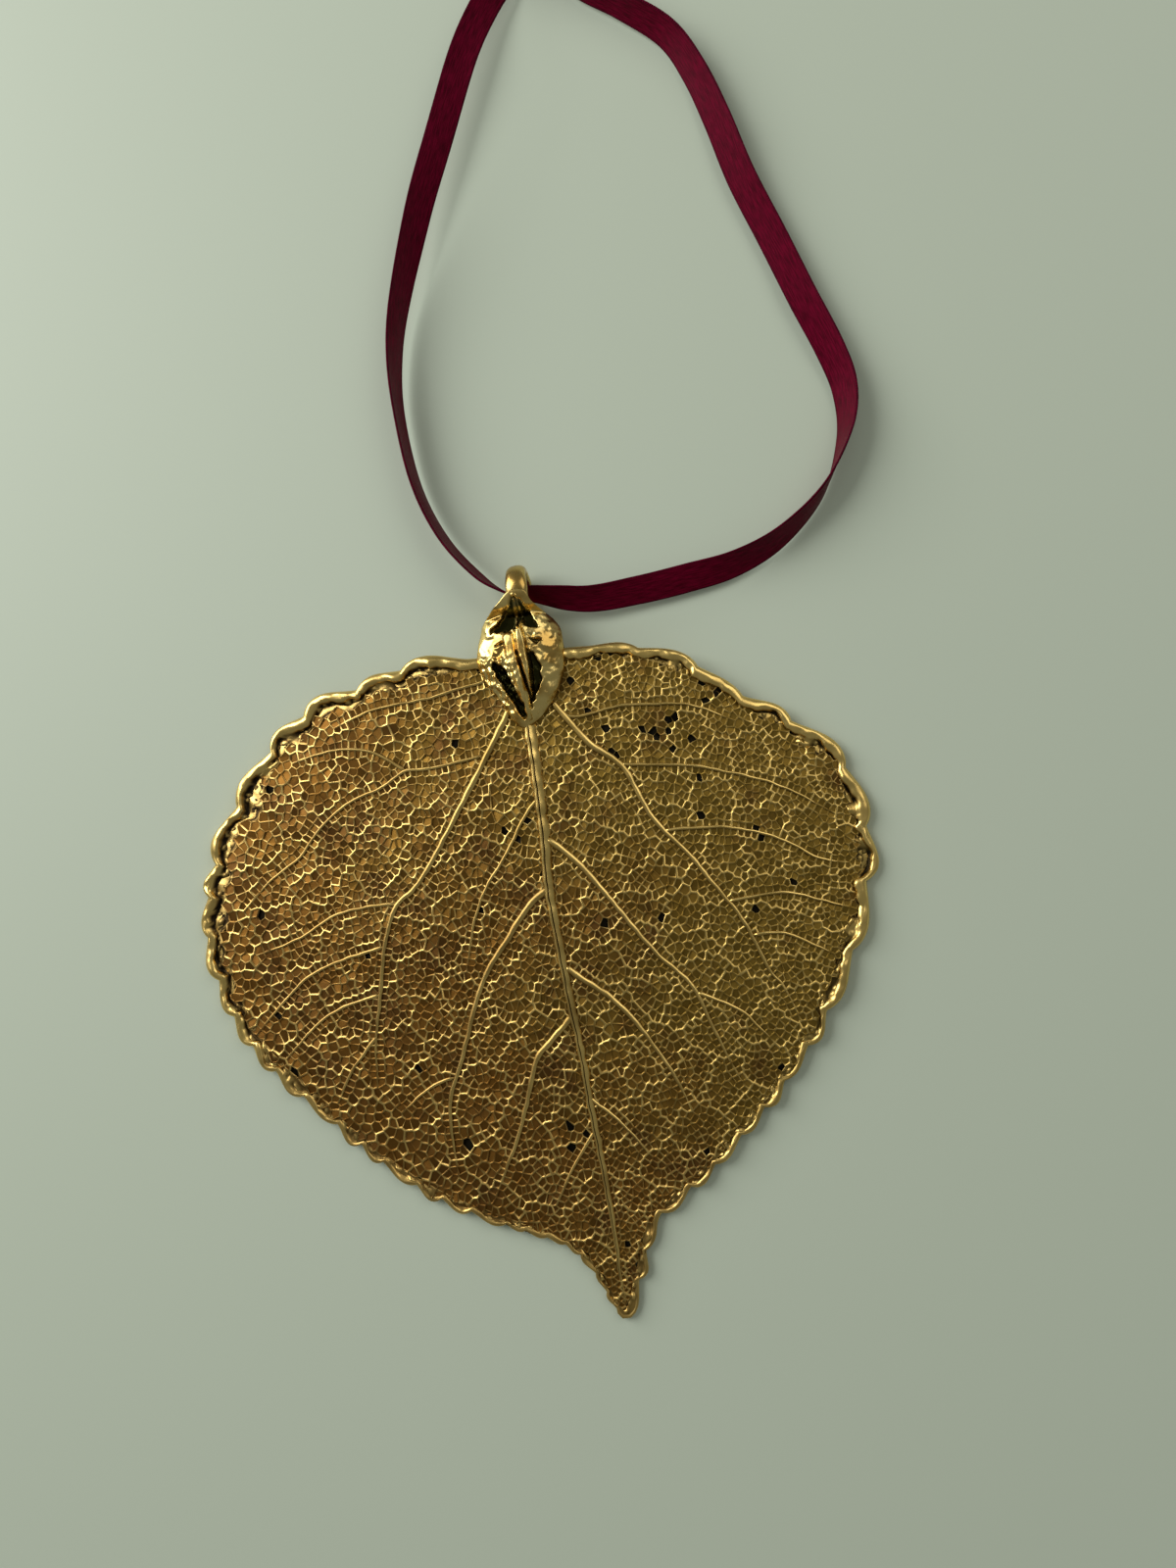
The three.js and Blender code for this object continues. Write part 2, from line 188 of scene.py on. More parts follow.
# ---------------------------------------------------------------- finishes
@dataclass
class Nodes:
    """Short ways to place and join shader nodes in one tree."""

    tree: bpy.types.NodeTree

    def add(self, kind: str, **values: object) -> bpy.types.Node:
        """Adds a node and sets its properties.

        Args:
            kind: The node's type name, without the ShaderNode prefix.
            **values: Properties to set.

        Returns:
            The node.
        """
        node = self.tree.nodes.new("ShaderNode" + kind)
        for key, value in values.items():
            setattr(node, key, value)
        return node

    def put(self, source: object, target: bpy.types.NodeSocket) -> None:
        """Links a socket, or sets a plain value.

        Args:
            source: An output socket, a number or a tuple.
            target: The input socket.
        """
        if isinstance(source, bpy.types.NodeSocket):
            self.tree.links.new(source, target)
        else:
            target.default_value = source

    def math(
        self, operation: str, a: object, b: object = 0.0, clamp: bool = False
    ) -> bpy.types.NodeSocket:
        """A calculation on one or two numbers.

        Args:
            operation: The name of the operation.
            a: First number or socket.
            b: Second number or socket.
            clamp: Whether the result is kept from 0 to 1.

        Returns:
            The result's socket.
        """
        node = self.add("Math", operation=operation, use_clamp=clamp)
        self.put(a, node.inputs[0])
        self.put(b, node.inputs[1])
        return node.outputs[0]

    def scaled(self, value: object, by: float, plus: float) -> bpy.types.NodeSocket:
        """A number times one plain value, plus another.

        Args:
            value: The number's socket.
            by: What it is multiplied by.
            plus: What is added.

        Returns:
            The result's socket.
        """
        result = self.math("MULTIPLY_ADD", value, by)
        self.put(plus, result.node.inputs[2])
        return result

    def bump(self, shader: bpy.types.Node, height: object, strength: float, depth: float) -> None:
        """Gives a shader a fine relief.

        Args:
            shader: The Principled shader.
            height: The relief's socket.
            strength: How much of it shows.
            depth: Its depth in metres.
        """
        node = self.add("Bump")
        self.put(strength, node.inputs["Strength"])
        self.put(depth, node.inputs["Distance"])
        self.put(height, node.inputs["Height"])
        self.put(node.outputs["Normal"], shader.inputs["Normal"])

    def mix(self, factor: object, a: object, b: object) -> bpy.types.NodeSocket:
        """Mixes two colours.

        Args:
            factor: Share of the second colour.
            a: First colour or socket.
            b: Second colour or socket.

        Returns:
            The mixed colour's socket.
        """
        node = self.add("Mix", data_type="RGBA")
        self.put(factor, node.inputs[0])
        self.put(a if isinstance(a, bpy.types.NodeSocket) else (*a, 1.0), node.inputs[6])
        self.put(b if isinstance(b, bpy.types.NodeSocket) else (*b, 1.0), node.inputs[7])
        return node.outputs[2]

    def blur(self, vector: object, scale: object, detail: float = 2.0) -> bpy.types.NodeSocket:
        """Soft noise from 0 to 1.

        Args:
            vector: Coordinates.
            scale: Waves per metre.
            detail: Octaves.

        Returns:
            The noise's socket.
        """
        node = self.add("TexNoise")
        self.put(vector, node.inputs["Vector"])
        self.put(scale, node.inputs["Scale"])
        self.put(detail, node.inputs["Detail"])
        return node.outputs["Fac"]

    def ramp(self, value: object, low: float, high: float) -> bpy.types.NodeSocket:
        """A smooth 0 to 1 rise of a value between two limits.

        Args:
            value: The value's socket.
            low: Where the rise starts.
            high: Where it ends.

        Returns:
            The risen value's socket.
        """
        node = self.add("MapRange", interpolation_type="SMOOTHSTEP")
        self.put(value, node.inputs[0])
        self.put(low, node.inputs[1])
        self.put(high, node.inputs[2])
        return node.outputs[0]


def new_group(name: str, inputs: dict[str, float], outputs: Sequence[str]) -> tuple[Nodes, dict, dict]:
    """Starts a shader node group with named number sockets and object coordinates.

    Args:
        name: The group's name.
        inputs: Name and usual value of each input.
        outputs: Names of the outputs.

    Returns:
        The group's nodes, its input sockets and its output sockets, by name.
    """
    tree = bpy.data.node_groups.new(name, "ShaderNodeTree")
    tree.interface.new_socket("Vector", in_out="INPUT", socket_type="NodeSocketVector")
    for key, value in inputs.items():
        socket = tree.interface.new_socket(key, in_out="INPUT", socket_type="NodeSocketFloat")
        socket.default_value = value
    for key in outputs:
        tree.interface.new_socket(key, in_out="OUTPUT", socket_type="NodeSocketFloat")
    entry = tree.nodes.new("NodeGroupInput")
    leave = tree.nodes.new("NodeGroupOutput")
    return (
        Nodes(tree),
        {s.name: s for s in entry.outputs if s.name},
        {s.name: s for s in leave.inputs if s.name},
    )


def plating_group() -> bpy.types.NodeTree:
    """Fine unevenness of electroplated metal: a cloudy mask and a height.

    Returns:
        The group.
    """
    nodes, given, out = new_group("plating", {"Scale": 900.0, "Lumps": 0.6}, ["Mask", "Height"])
    cloud = nodes.blur(given["Vector"], given["Scale"], 3.0)
    fine = nodes.blur(given["Vector"], nodes.math("MULTIPLY", given["Scale"], 5.0))
    lumps = nodes.math("MULTIPLY", cloud, given["Lumps"])
    nodes.put(cloud, out["Mask"])
    nodes.put(nodes.math("ADD", lumps, nodes.math("MULTIPLY", fine, 0.25)), out["Height"])
    return nodes.tree


def place_group(
    nodes: Nodes, tree: bpy.types.NodeTree, vector: object, **values: float
) -> bpy.types.Node:
    """Places a shared group in a material.

    Args:
        nodes: The material's nodes.
        tree: The group.
        vector: Coordinates for it.
        **values: Its inputs by name, in small letters.

    Returns:
        The placed node.
    """
    node = nodes.add("Group", node_tree=tree)
    nodes.put(vector, node.inputs["Vector"])
    for key, value in values.items():
        nodes.put(value, node.inputs[key.capitalize()])
    return node


def new_material(name: str) -> tuple[bpy.types.Material, Nodes, bpy.types.Node]:
    """Starts a material with one Principled shader.

    Args:
        name: The material's name.

    Returns:
        The material, its nodes and the shader.
    """
    material = bpy.data.materials.new(name)
    material.use_nodes = True
    nodes = Nodes(material.node_tree)
    shader = material.node_tree.nodes["Principled BSDF"]
    return material, nodes, shader


@dataclass(frozen=True)
class LeafGold:
    """Gold plate over a real leaf: bright on veins and rim, brown in the cells between."""

    plating: bpy.types.NodeTree
    bright: Colour = (0.86, 0.6, 0.2)
    floor_warm: Colour = (0.195, 0.09, 0.018)
    floor_cool: Colour = (0.225, 0.138, 0.026)
    stain_and_shade: Colour = (0.14, 0.066, 0.018)
    # Near-black painted shade: the dark seen in pinholes, in the midrib's groove and in the rim's
    # pockets.
    painted_shade: Colour = (0.015, 0.012, 0.008)
    floor_rough: float = 0.3
    polish: float = 0.16

    def make(self) -> bpy.types.Material:
        """Builds the material; it reads the crest attribute and the attribute that holds the painted
        black shade of pinholes, grooves and rim pockets.

        Returns:
            The material.
        """
        material, nodes, shader = new_material("leaf_gold")
        where = nodes.add("TexCoord").outputs["Object"]
        crest = nodes.add("Attribute", attribute_name="crest").outputs["Fac"]
        painted_shade = nodes.add("Attribute", attribute_name="painted_shade").outputs["Fac"]
        plate = place_group(nodes, self.plating, where, scale=700.0, lumps=0.5)
        split = nodes.add("SeparateXYZ")
        nodes.put(where, split.inputs[0])
        across, along = split.outputs[0], split.outputs[1]
        # Floor tone goes from warm brown on the left to lighter olive on the right and at the top, with
        # soft patches: partly the plate's own tone, partly painted shade and reflection that differ
        # between the leaf's halves.
        drift = nodes.math("ADD", nodes.math("MULTIPLY", across, 12.0), nodes.blur(where, 60.0))
        drift = nodes.math("ADD", drift, nodes.math("MULTIPLY", along, 6.0))
        # Dark brown patches from noise, more of them towards the left: random stains, and painted shade
        # that darkens the left half.
        worn = nodes.math("SUBTRACT", nodes.blur(where, 260.0), nodes.math("MULTIPLY", across, 3.0))
        floor = nodes.mix(nodes.ramp(drift, 0.25, 0.85), self.floor_warm, self.floor_cool)
        stained_and_shaded = nodes.mix(nodes.ramp(worn, 0.46, 0.76), floor, self.stain_and_shade)
        metal = nodes.mix(crest, stained_and_shaded, self.bright)
        # Where that attribute is high, the colour turns to the near-black painted shade.
        with_painted_shade = nodes.mix(painted_shade, metal, self.painted_shade)
        nodes.put(with_painted_shade, shader.inputs["Base Color"])
        shader.inputs["Metallic"].default_value = 1.0
        rough_floor = nodes.scaled(plate.outputs["Mask"], 0.3, self.floor_rough)
        drop = nodes.math("MULTIPLY", crest, self.polish)
        nodes.put(nodes.math("SUBTRACT", rough_floor, drop, clamp=True), shader.inputs["Roughness"])
        nodes.bump(shader, plate.outputs["Height"], 0.35, 0.06 * MM)
        return material


@dataclass(frozen=True)
class CapGold:
    """Bright, thick gold plate with near-black painted shade in its hollows."""

    plating: bpy.types.NodeTree
    bright: Colour = (0.92, 0.68, 0.25)
    worn: Colour = (0.6, 0.37, 0.1)
    hollow_shade: Colour = (0.03, 0.028, 0.008)

    def make(self) -> bpy.types.Material:
        """Builds the material; it reads the attribute crest.

        Returns:
            The material.
        """
        material, nodes, shader = new_material("cap_gold")
        where = nodes.add("TexCoord").outputs["Object"]
        crest = nodes.add("Attribute", attribute_name="crest").outputs["Fac"]
        plate = place_group(nodes, self.plating, where, scale=600.0, lumps=0.8)
        patches = nodes.ramp(nodes.blur(where, 420.0), 0.42, 0.66)
        warm = nodes.mix(patches, self.bright, self.worn)
        # Low crest, in the sunken strokes, mixes in the near-black painted shade.
        nodes.put(nodes.mix(crest, self.hollow_shade, warm), shader.inputs["Base Color"])
        shader.inputs["Metallic"].default_value = 1.0
        nodes.put(nodes.scaled(plate.outputs["Mask"], 0.28, 0.12), shader.inputs["Roughness"])
        nodes.bump(shader, plate.outputs["Height"], 0.14, 0.08 * MM)
        return material


@dataclass(frozen=True)
class RibbonSatin:
    """Burgundy satin: long floats of thread whose gleam is painted in as lighter streaks, with firm woven
    edges.
    """

    thread_pitch: float = 0.11 * MM
    deep: Colour = (0.05, 0.0006, 0.006)
    # The lighter tone of the streaks along the threads: painted sheen.
    bright: Colour = (0.135, 0.0012, 0.017)
    edge_rib: Colour = (0.04, 0.001, 0.01)
    edge_from: float = 1.28 * MM
    edge_to: float = 1.4 * MM

    def make(self) -> bpy.types.Material:
        """Builds the material; its weave follows the ribbon's own UV map, in metres.

        Returns:
            The material.
        """
        material, nodes, shader = new_material("ribbon_satin")
        run = nodes.add("UVMap", uv_map="run").outputs["UV"]
        split = nodes.add("SeparateXYZ")
        nodes.put(run, split.inputs[0])
        turns = 2.0 * math.pi / self.thread_pitch
        warp = nodes.math("SINE", nodes.math("MULTIPLY", split.outputs[0], turns))
        weft = nodes.math("SINE", nodes.math("MULTIPLY", split.outputs[1], turns * 0.45))
        stretch = nodes.add("Mapping")
        stretch.inputs["Scale"].default_value = (9000.0, 700.0, 1.0)
        nodes.put(run, stretch.inputs["Vector"])
        sheen_streak = nodes.blur(stretch.outputs["Vector"], 1.0, 3.0)
        edge = nodes.ramp(nodes.math("ABSOLUTE", split.outputs[0]), self.edge_from, self.edge_to)
        # Lighter streaks along the threads: painted sheen.
        body = nodes.mix(nodes.ramp(sheen_streak, 0.3, 0.72), self.deep, self.bright)
        ribs = nodes.math("MULTIPLY", edge, nodes.ramp(weft, -0.6, 0.8))
        nodes.put(nodes.mix(ribs, body, self.edge_rib), shader.inputs["Base Color"])
        nodes.put(nodes.scaled(sheen_streak, 0.25, 0.3), shader.inputs["Roughness"])
        shader.inputs["Specular IOR Level"].default_value = 0.1
        shader.inputs["Specular Tint"].default_value = (1.0, 0.16, 0.3, 1.0)
        height = nodes.math("ADD", nodes.math("MULTIPLY", warp, 0.5), nodes.math("MULTIPLY", weft, edge))
        nodes.bump(shader, height, 0.5, 0.03 * MM)
        return material


# ---------------------------------------------------------------- studio and camera
@dataclass
class Studio:
    """Pale floor, soft window light from the left and the camera, almost straight above."""

    floor_size: float = 1.6
    camera_place: Spot = (16.7 * MM, -26.5 * MM, 121.2 * MM)
    camera_aim: Spot = (4.3 * MM, -20.5 * MM, 2.0 * MM)
    camera_turn: float = math.radians(7.6)
    lens: float = 27.0

    def build(self, eye: Vector) -> None:
        """Makes the camera, floor, lights and surroundings.

        Args:
            eye: Middle of the hanging loop's eye, which the camera's place is given from.
        """
        level = Vector((eye.x, eye.y, 0.0))
        self._camera(level)
        self._floor()
        self._lights(level)
        self._surroundings()
        bpy.context.scene.view_settings.view_transform = "Standard"

    def _camera(self, level: Vector) -> None:
        """Makes the camera.

        Args:
            level: Point under the eye, on the floor.
        """
        data = bpy.data.cameras.new("camera")
        data.lens = self.lens
        data.clip_start = 1.0 * MM
        camera = bpy.data.objects.new("camera", data)
        camera.location = level + Vector(self.camera_place)
        back = (Vector(self.camera_place) - Vector(self.camera_aim)).normalized()
        up = Vector((math.sin(self.camera_turn), math.cos(self.camera_turn), 0.0))
        side = up.cross(back).normalized()
        over = back.cross(side)
        camera.matrix_world = Matrix.Translation(camera.location) @ Matrix(
            (side, over, back)
        ).transposed().to_4x4()
        bpy.context.scene.collection.objects.link(camera)
        bpy.context.scene.camera = camera

    def _floor(self) -> None:
        """Makes the plain pale floor."""
        material, _, shader = new_material("floor_paint")
        shader.inputs["Base Color"].default_value = (0.5, 0.56, 0.46, 1.0)
        shader.inputs["Roughness"].default_value = 0.6
        bm = bmesh.new()
        bmesh.ops.create_grid(bm, x_segments=1, y_segments=1, size=self.floor_size / 2)
        floor = finished("floor", bm, material)

    def _light(
        self, name: str, place: Spot, aim: Vector, size: Share, power: float, tone: Colour
    ) -> None:
        """Makes one soft rectangular light.

        Args:
            name: The light's name.
            place: Where it is, from the point it is aimed at.
            aim: The point it is aimed at.
            size: Width and height.
            power: Watts.
            tone: Colour.
        """
        data = bpy.data.lights.new(name, "AREA")
        data.shape = "RECTANGLE"
        data.size, data.size_y = size
        data.energy = power
        data.color = tone
        lamp = bpy.data.objects.new(name, data)
        lamp.location = aim + Vector(place)
        lamp.rotation_euler = Vector(place).to_track_quat("Z", "Y").to_euler()
        bpy.context.scene.collection.objects.link(lamp)

    def _lights(self, level: Vector) -> None:
        """Places the window light and a weak fill.

        Args:
            level: Point under the eye, on the floor.
        """
        aim = level + Vector((0.0, -0.02, 0.0))
        self._light("window", (-0.35, 0.25, 0.28), aim, (0.34, 0.42), 2.6, (1.0, 1.0, 0.97))
        self._light("fill", (0.42, 0.34, 0.5), aim, (0.5, 0.5), 1.1, (1.0, 0.97, 0.9))

    def _surroundings(self) -> None:
        """Gives the room a dim, even light."""
        world = bpy.data.worlds.new("room")
        world.use_nodes = True
        room = world.node_tree.nodes["Background"]
        room.inputs["Color"].default_value = (0.55, 0.58, 0.52, 1.0)
        room.inputs["Strength"].default_value = 0.33
        bpy.context.scene.world = world


# ---------------------------------------------------------------- ribbon
@dataclass
class Ribbon:
    """One satin ribbon, 3 mm wide, through the eye and closed by an overhand knot.

    Route points are x, y from the eye, height over the surface, and roll in degrees: 0 where
    the ribbon lies flat and 90 where it stands on its edge.
    """

    eye: Vector
    material: bpy.types.Material
    width: float = 3.0 * MM
    thickness: float = 0.24 * MM
    gathered: float = 2.4 * MM
    picot: float = 0.045 * MM
    picot_pitch: float = 0.5 * MM
    cupping: float = 0.12 * MM
    cup_wave: float = 3.1 * MM
    step: float = 0.25 * MM
    knot_middle: Spot = (9.2 * MM, 69.8 * MM, 1.85 * MM)
    knot_wide: float = 1.0 * MM
    knot_thick: float = 0.42 * MM
    knot_steps: int = 120
    knot_sides: int = 24
    knot_size: Spot = (0.72 * MM, 0.88 * MM, 0.85 * MM)
    left_leg: tuple[RoutePoint, ...] = (
        (0.0, -0.15, 2.6, 80), (-1.5, 0.1, 2.6, 84), (-4.1, 2.2, 2.5, 76), (-7.2, 6.8, 2.3, 77),
        (-9.5, 13.5, 2.2, 81), (-10.4, 21.0, 2.3, 82), (-9.8, 27.5, 2.5, 72), (-8.0, 34.4, 2.7, 58),
        (-5.5, 41.4, 2.8, 42), (-2.5, 48.3, 2.8, 28), (1.3, 57.2, 2.5, 20), (4.3, 62.4, 2.1, 25),
        (7.7, 66.7, 1.8, 40), (8.6, 68.6, 1.8, 55),
    )
    right_leg: tuple[RoutePoint, ...] = (
        (0.0, -0.15, 2.6, 80), (1.5, -0.4, 2.6, 55), (6.8, -1.6, 2.0, 38), (11.9, -1.5, 1.6, 28),
        (17.0, -1.0, 1.4, 26), (22.1, -0.2, 1.4, 42), (27.3, 1.9, 1.6, 62), (32.0, 5.7, 1.7, 84),
        (34.7, 11.0, 1.7, 112), (35.4, 15.6, 1.6, 138), (34.6, 20.0, 1.5, 152), (32.6, 26.0, 1.4, 160),
        (30.5, 32.5, 1.4, 160), (28.3, 39.2, 1.4, 156), (26.7, 45.7, 1.5, 148), (24.9, 51.4, 1.5, 138),
        (22.6, 56.0, 1.6, 128), (18.4, 59.9, 1.7, 118), (14.4, 62.9, 1.7, 115), (10.8, 66.8, 1.7, 118),
        (9.8, 68.6, 1.7, 120),
    )
    left_tail: tuple[RoutePoint, ...] = (
        (8.4, 71.0, 1.8, 40), (7.5, 72.7, 1.7, 30), (6.4, 76.0, 1.3, 18), (4.9, 79.6, 0.8, 8),
    )
    right_tail: tuple[RoutePoint, ...] = (
        (9.9, 71.0, 1.7, 140), (10.7, 72.7, 1.6, 150), (11.9, 75.8, 1.2, 162), (13.6, 79.0, 0.8, 172),
    )

    def _line(self, route: Sequence[RoutePoint]) -> np.ndarray:
        """Turns a route into evenly spaced samples.

        Args:
            route: The route's points, in millimetres and degrees.

        Returns:
            Rows of x, y, z in metres in the frame, and roll in radians.
        """
        points = np.array(route, dtype=float)
        points[:, :3] *= MM
        points[:, 0] += self.eye.x
        points[:, 1] += self.eye.y
        points[:, 3] = np.radians(points[:, 3])
        line = spline(points, closed=False)
        count = int(lengths_along(line, 3)[-1] / self.step) + 1
        return evenly(line, count, 3)

    def _band(
        self, name: str, line: np.ndarray, tight: Callable[[float, float], float]
    ) -> bpy.types.Object:
        """Makes a stretch of ribbon along a line.

        Args:
            name: The piece's name.
            line: Samples with their roll.
            tight: Gives the share of the full width at a length from the start, out of the whole.

        Returns:
            The piece, with its UV map in metres.
        """
        rings = len(line)
        run = lengths_along(line, 3)
        ahead = np.gradient(line[:, :3], axis=0)
        section = self._section()
        bm = bmesh.new()
        loop = [bm.verts.new((x, 0.0, z)) for x, z in section]
        edges = [bm.edges.new((loop[i - 1], loop[i])) for i in range(len(loop))]
        bm.faces.new(loop)
        rows = [loop]
        for _ in range(rings - 1):
            made = bmesh.ops.extrude_edge_only(bm, edges=edges)["geom"]
            corners = {v for v in made if isinstance(v, bmesh.types.BMVert)}
            row = [next(e.other_vert(v) for e in v.link_edges if e.other_vert(v) in corners)
                   for v in rows[-1]]
            edges = [e for e in made if isinstance(e, bmesh.types.BMEdge)
                     and e.verts[0] in corners and e.verts[1] in corners]
            rows.append(row)
        bm.faces.new(rows[-1])
        for i, row in enumerate(rows):
            forward = Vector(ahead[i]).normalized()
            lateral = Vector((-forward.y, forward.x, 0.0)).normalized()
            upright = forward.cross(lateral)
            roll = float(line[i, 3])
            side = -lateral * math.cos(roll) - upright * math.sin(roll)
            face = side.cross(forward)
            share = tight(run[i], run[-1])
            for v, (x, z) in zip(row, section):
                edge = abs(x) / (self.width / 2)
                wave = math.sin(2 * math.pi * run[i] / self.picot_pitch)
                nub = self.picot * wave if edge > 0.95 else 0.0
                cup = self.cupping * math.sin(run[i] / self.cup_wave) * edge * edge
                across = x * share + math.copysign(nub, x)
                v.co = Vector(line[i, :3]) + side * across + face * (z + cup)
        self._unwrap(bm, rows, section, run)
        return finished(name, bm, self.material)

    def _section(self) -> list[Share]:
        """Cross-section of the ribbon.

        Returns:
            Corners as distance across and height, all the way round.
        """
        half = self.width / 2
        thin = self.thickness / 2
        across = [-1.0, -0.96, -0.88, -0.6, -0.2, 0.2, 0.6, 0.88, 0.96, 1.0]
        rise = [0.3, 1.0, 0.75, 0.7, 0.7, 0.7, 0.7, 0.75, 1.0, 0.3]
        top = [(a * half, r * thin) for a, r in zip(across, rise)]
        return top + [(x, -z) for x, z in reversed(top)]

    def _unwrap(
        self, bm: bmesh.types.BMesh, rows: list[list], section: list[Share], run: np.ndarray
    ) -> None:
        """Gives each corner its place on the flat ribbon, in metres.

        Args:
            bm: The ribbon's mesh.
            rows: Its vertices, ring by ring.
            section: The cross-section.
            run: Length at each ring.
        """
        layer = bm.loops.layers.uv.new("run")
        place = {v: (x, run[i]) for i, row in enumerate(rows) for v, (x, _) in zip(row, section)}
        for face in bm.faces:
            for corner in face.loops:
                corner[layer].uv = place[corner.vert]

    def _knot(self) -> bpy.types.Object:
        """Ties the overhand knot: the doubled ribbon, gathered to a thick cord.

        Returns:
            The knot.
        """
        east, north, up = self.knot_middle
        middle = Vector((self.eye.x + east, self.eye.y + north, up))
        steps = self.knot_steps
        turns = np.linspace(0.0, 2.0 * math.pi, steps + 1)
        size = Vector(self.knot_size)
        cord = [
            middle
            + Vector((
                (math.sin(t) + 2.0 * math.sin(2.0 * t)) * size.x,
                (math.cos(t) - 2.0 * math.cos(2.0 * t)) * size.y,
                -math.sin(3.0 * t) * size.z,
            ))
            for t in turns
        ]

        def place(u: float, v: float) -> Vector:
            """A point of the gathered ribbon's skin.

            Args:
                u: Share along the knot.
                v: Share round its section.

            Returns:
                The point.
            """
            i = round(u * steps) % steps
            forward = (cord[(i + 1) % steps] - cord[i - 1]).normalized()
            outward = (cord[i] - middle).normalized()
            side = forward.cross(outward).normalized()
            angle = 2.0 * math.pi * v
            pleat = 1.0 + 0.12 * math.sin(6.0 * angle + 3.0 * turns[i])
            radial = side.cross(forward)
            return (cord[i] + side * (math.cos(angle) * self.knot_wide * pleat)
                    + radial * (math.sin(angle) * self.knot_thick * pleat))

        bm = shaped_grid(steps, self.knot_sides, place, merge=0.01 * MM)
        layer = bm.loops.layers.uv.new("run")
        for face in bm.faces:
            for corner in face.loops:
                corner[layer].uv = (corner.vert.co.x * 0.5, corner.vert.co.y * 1.5)
        return finished("ribbon_overhand_knot", bm, self.material)

    def build(self) -> None:
        def eye_and_knot(s: float, whole: float) -> float:
            """Full width, but gathered in the eye and at the knot.

            Args:
                s: Length from the eye.
                whole: Length of the leg.

            Returns:
                Share of the full width.
            """
            narrow = self.gathered / self.width
            return narrow + (1.0 - narrow) * smoothstep(1.2 * MM, 5.0 * MM, s) - 0.45 * smoothstep(
                whole - 4.0 * MM, whole, s
            )

        def tail(s: float, whole: float) -> float:
            """Share of the full width at a length from the knot, where the tail is gathered."""
            return 0.5 + 0.5 * smoothstep(0.0, 4.0 * MM, s)

        knot = self._knot()
        tails = [
            self._band("ribbon_end_left", self._line(self.left_tail), tail),
            self._band("ribbon_end_right", self._line(self.right_tail), tail),
        ]
        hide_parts("ribbon_knot")
        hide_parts("ribbon_tail_left")
        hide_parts("ribbon_tail_right")
        legs = {
            "ribbon_left": (self.left_leg, ["ribbon_left_leg", "ribbon_in_loop"], [knot, *tails]),
            "ribbon_right": (self.right_leg, ["ribbon_right_leg"], []),
        }
        for name, (route, nodes, on_it) in legs.items():
            line = self._line(route)
            leg = self._band(name, line, eye_and_knot)
            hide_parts(*nodes)
            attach(leg, "ribbon")
            float(lengths_along(line, 3)[-1])
            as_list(on_it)
        for piece in (knot, *tails):
            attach(piece, "ribbon")


# ---------------------------------------------------------------- leaf
class VeinRank(Enum):
    """How thick a vein is: its half width at the root and at the far end."""

    MIDRIB = (0.72 * MM, 0.3 * MM)
    LATERAL = (0.38 * MM, 0.18 * MM)
    BRANCH = (0.21 * MM, 0.13 * MM)


# Sections of a vein. Each corner: share of the half width across, height, polish and blackness. Polish is
# higher on one flank than on the other, a painted highlight and painted shade on top of the veins' own
# polish; blackness is painted shadow in the midrib's groove and faintly along one foot of the other ribs.
GROOVED = (
    (-1.0, -0.3, 0.7, 0.0), (-0.95, 0.0, 1.0, 0.0), (-0.55, 0.42, 1.0, 0.0), (-0.1, 0.88, 1.0, 0.0),
    (0.02, 0.9, 0.9, 0.0), (0.1, 0.3, 0.2, 0.9), (0.22, 0.3, 0.2, 0.9), (0.32, 0.7, 0.8, 0.0),
    (0.65, 0.55, 0.8, 0.0), (0.9, 0.15, 0.5, 0.0), (1.0, -0.2, 0.4, 0.0), (0.6, -1.15, 0.7, 0.0),
    (0.0, -1.4, 0.7, 0.0), (-0.6, -1.15, 0.7, 0.0),
)
ROUNDED = (
    (-1.0, -0.3, 0.6, 0.0), (-0.92, 0.1, 0.9, 0.0), (-0.55, 0.38, 1.0, 0.0), (-0.15, 0.62, 0.8, 0.0),
    (0.15, 0.62, 0.5, 0.0), (0.5, 0.5, 0.4, 0.0), (0.85, 0.2, 0.3, 0.0), (1.0, -0.2, 0.1, 0.2),
    (0.6, -1.15, 0.6, 0.0), (0.0, -1.4, 0.6, 0.0), (-0.6, -1.15, 0.6, 0.0),
)


@dataclass(frozen=True)
class Vein:
    """One vein that stands out of the blade, from its root to its end, in mm from the eye."""

    rank: VeinRank
    points: tuple[Share, ...]


@dataclass(frozen=True)
class ToothRun:
    """A run of equal teeth along the margin, ending at a share of the margin's length."""

    end: float
    teeth: int
    depth: float
    held_in: float = 0.25 * MM


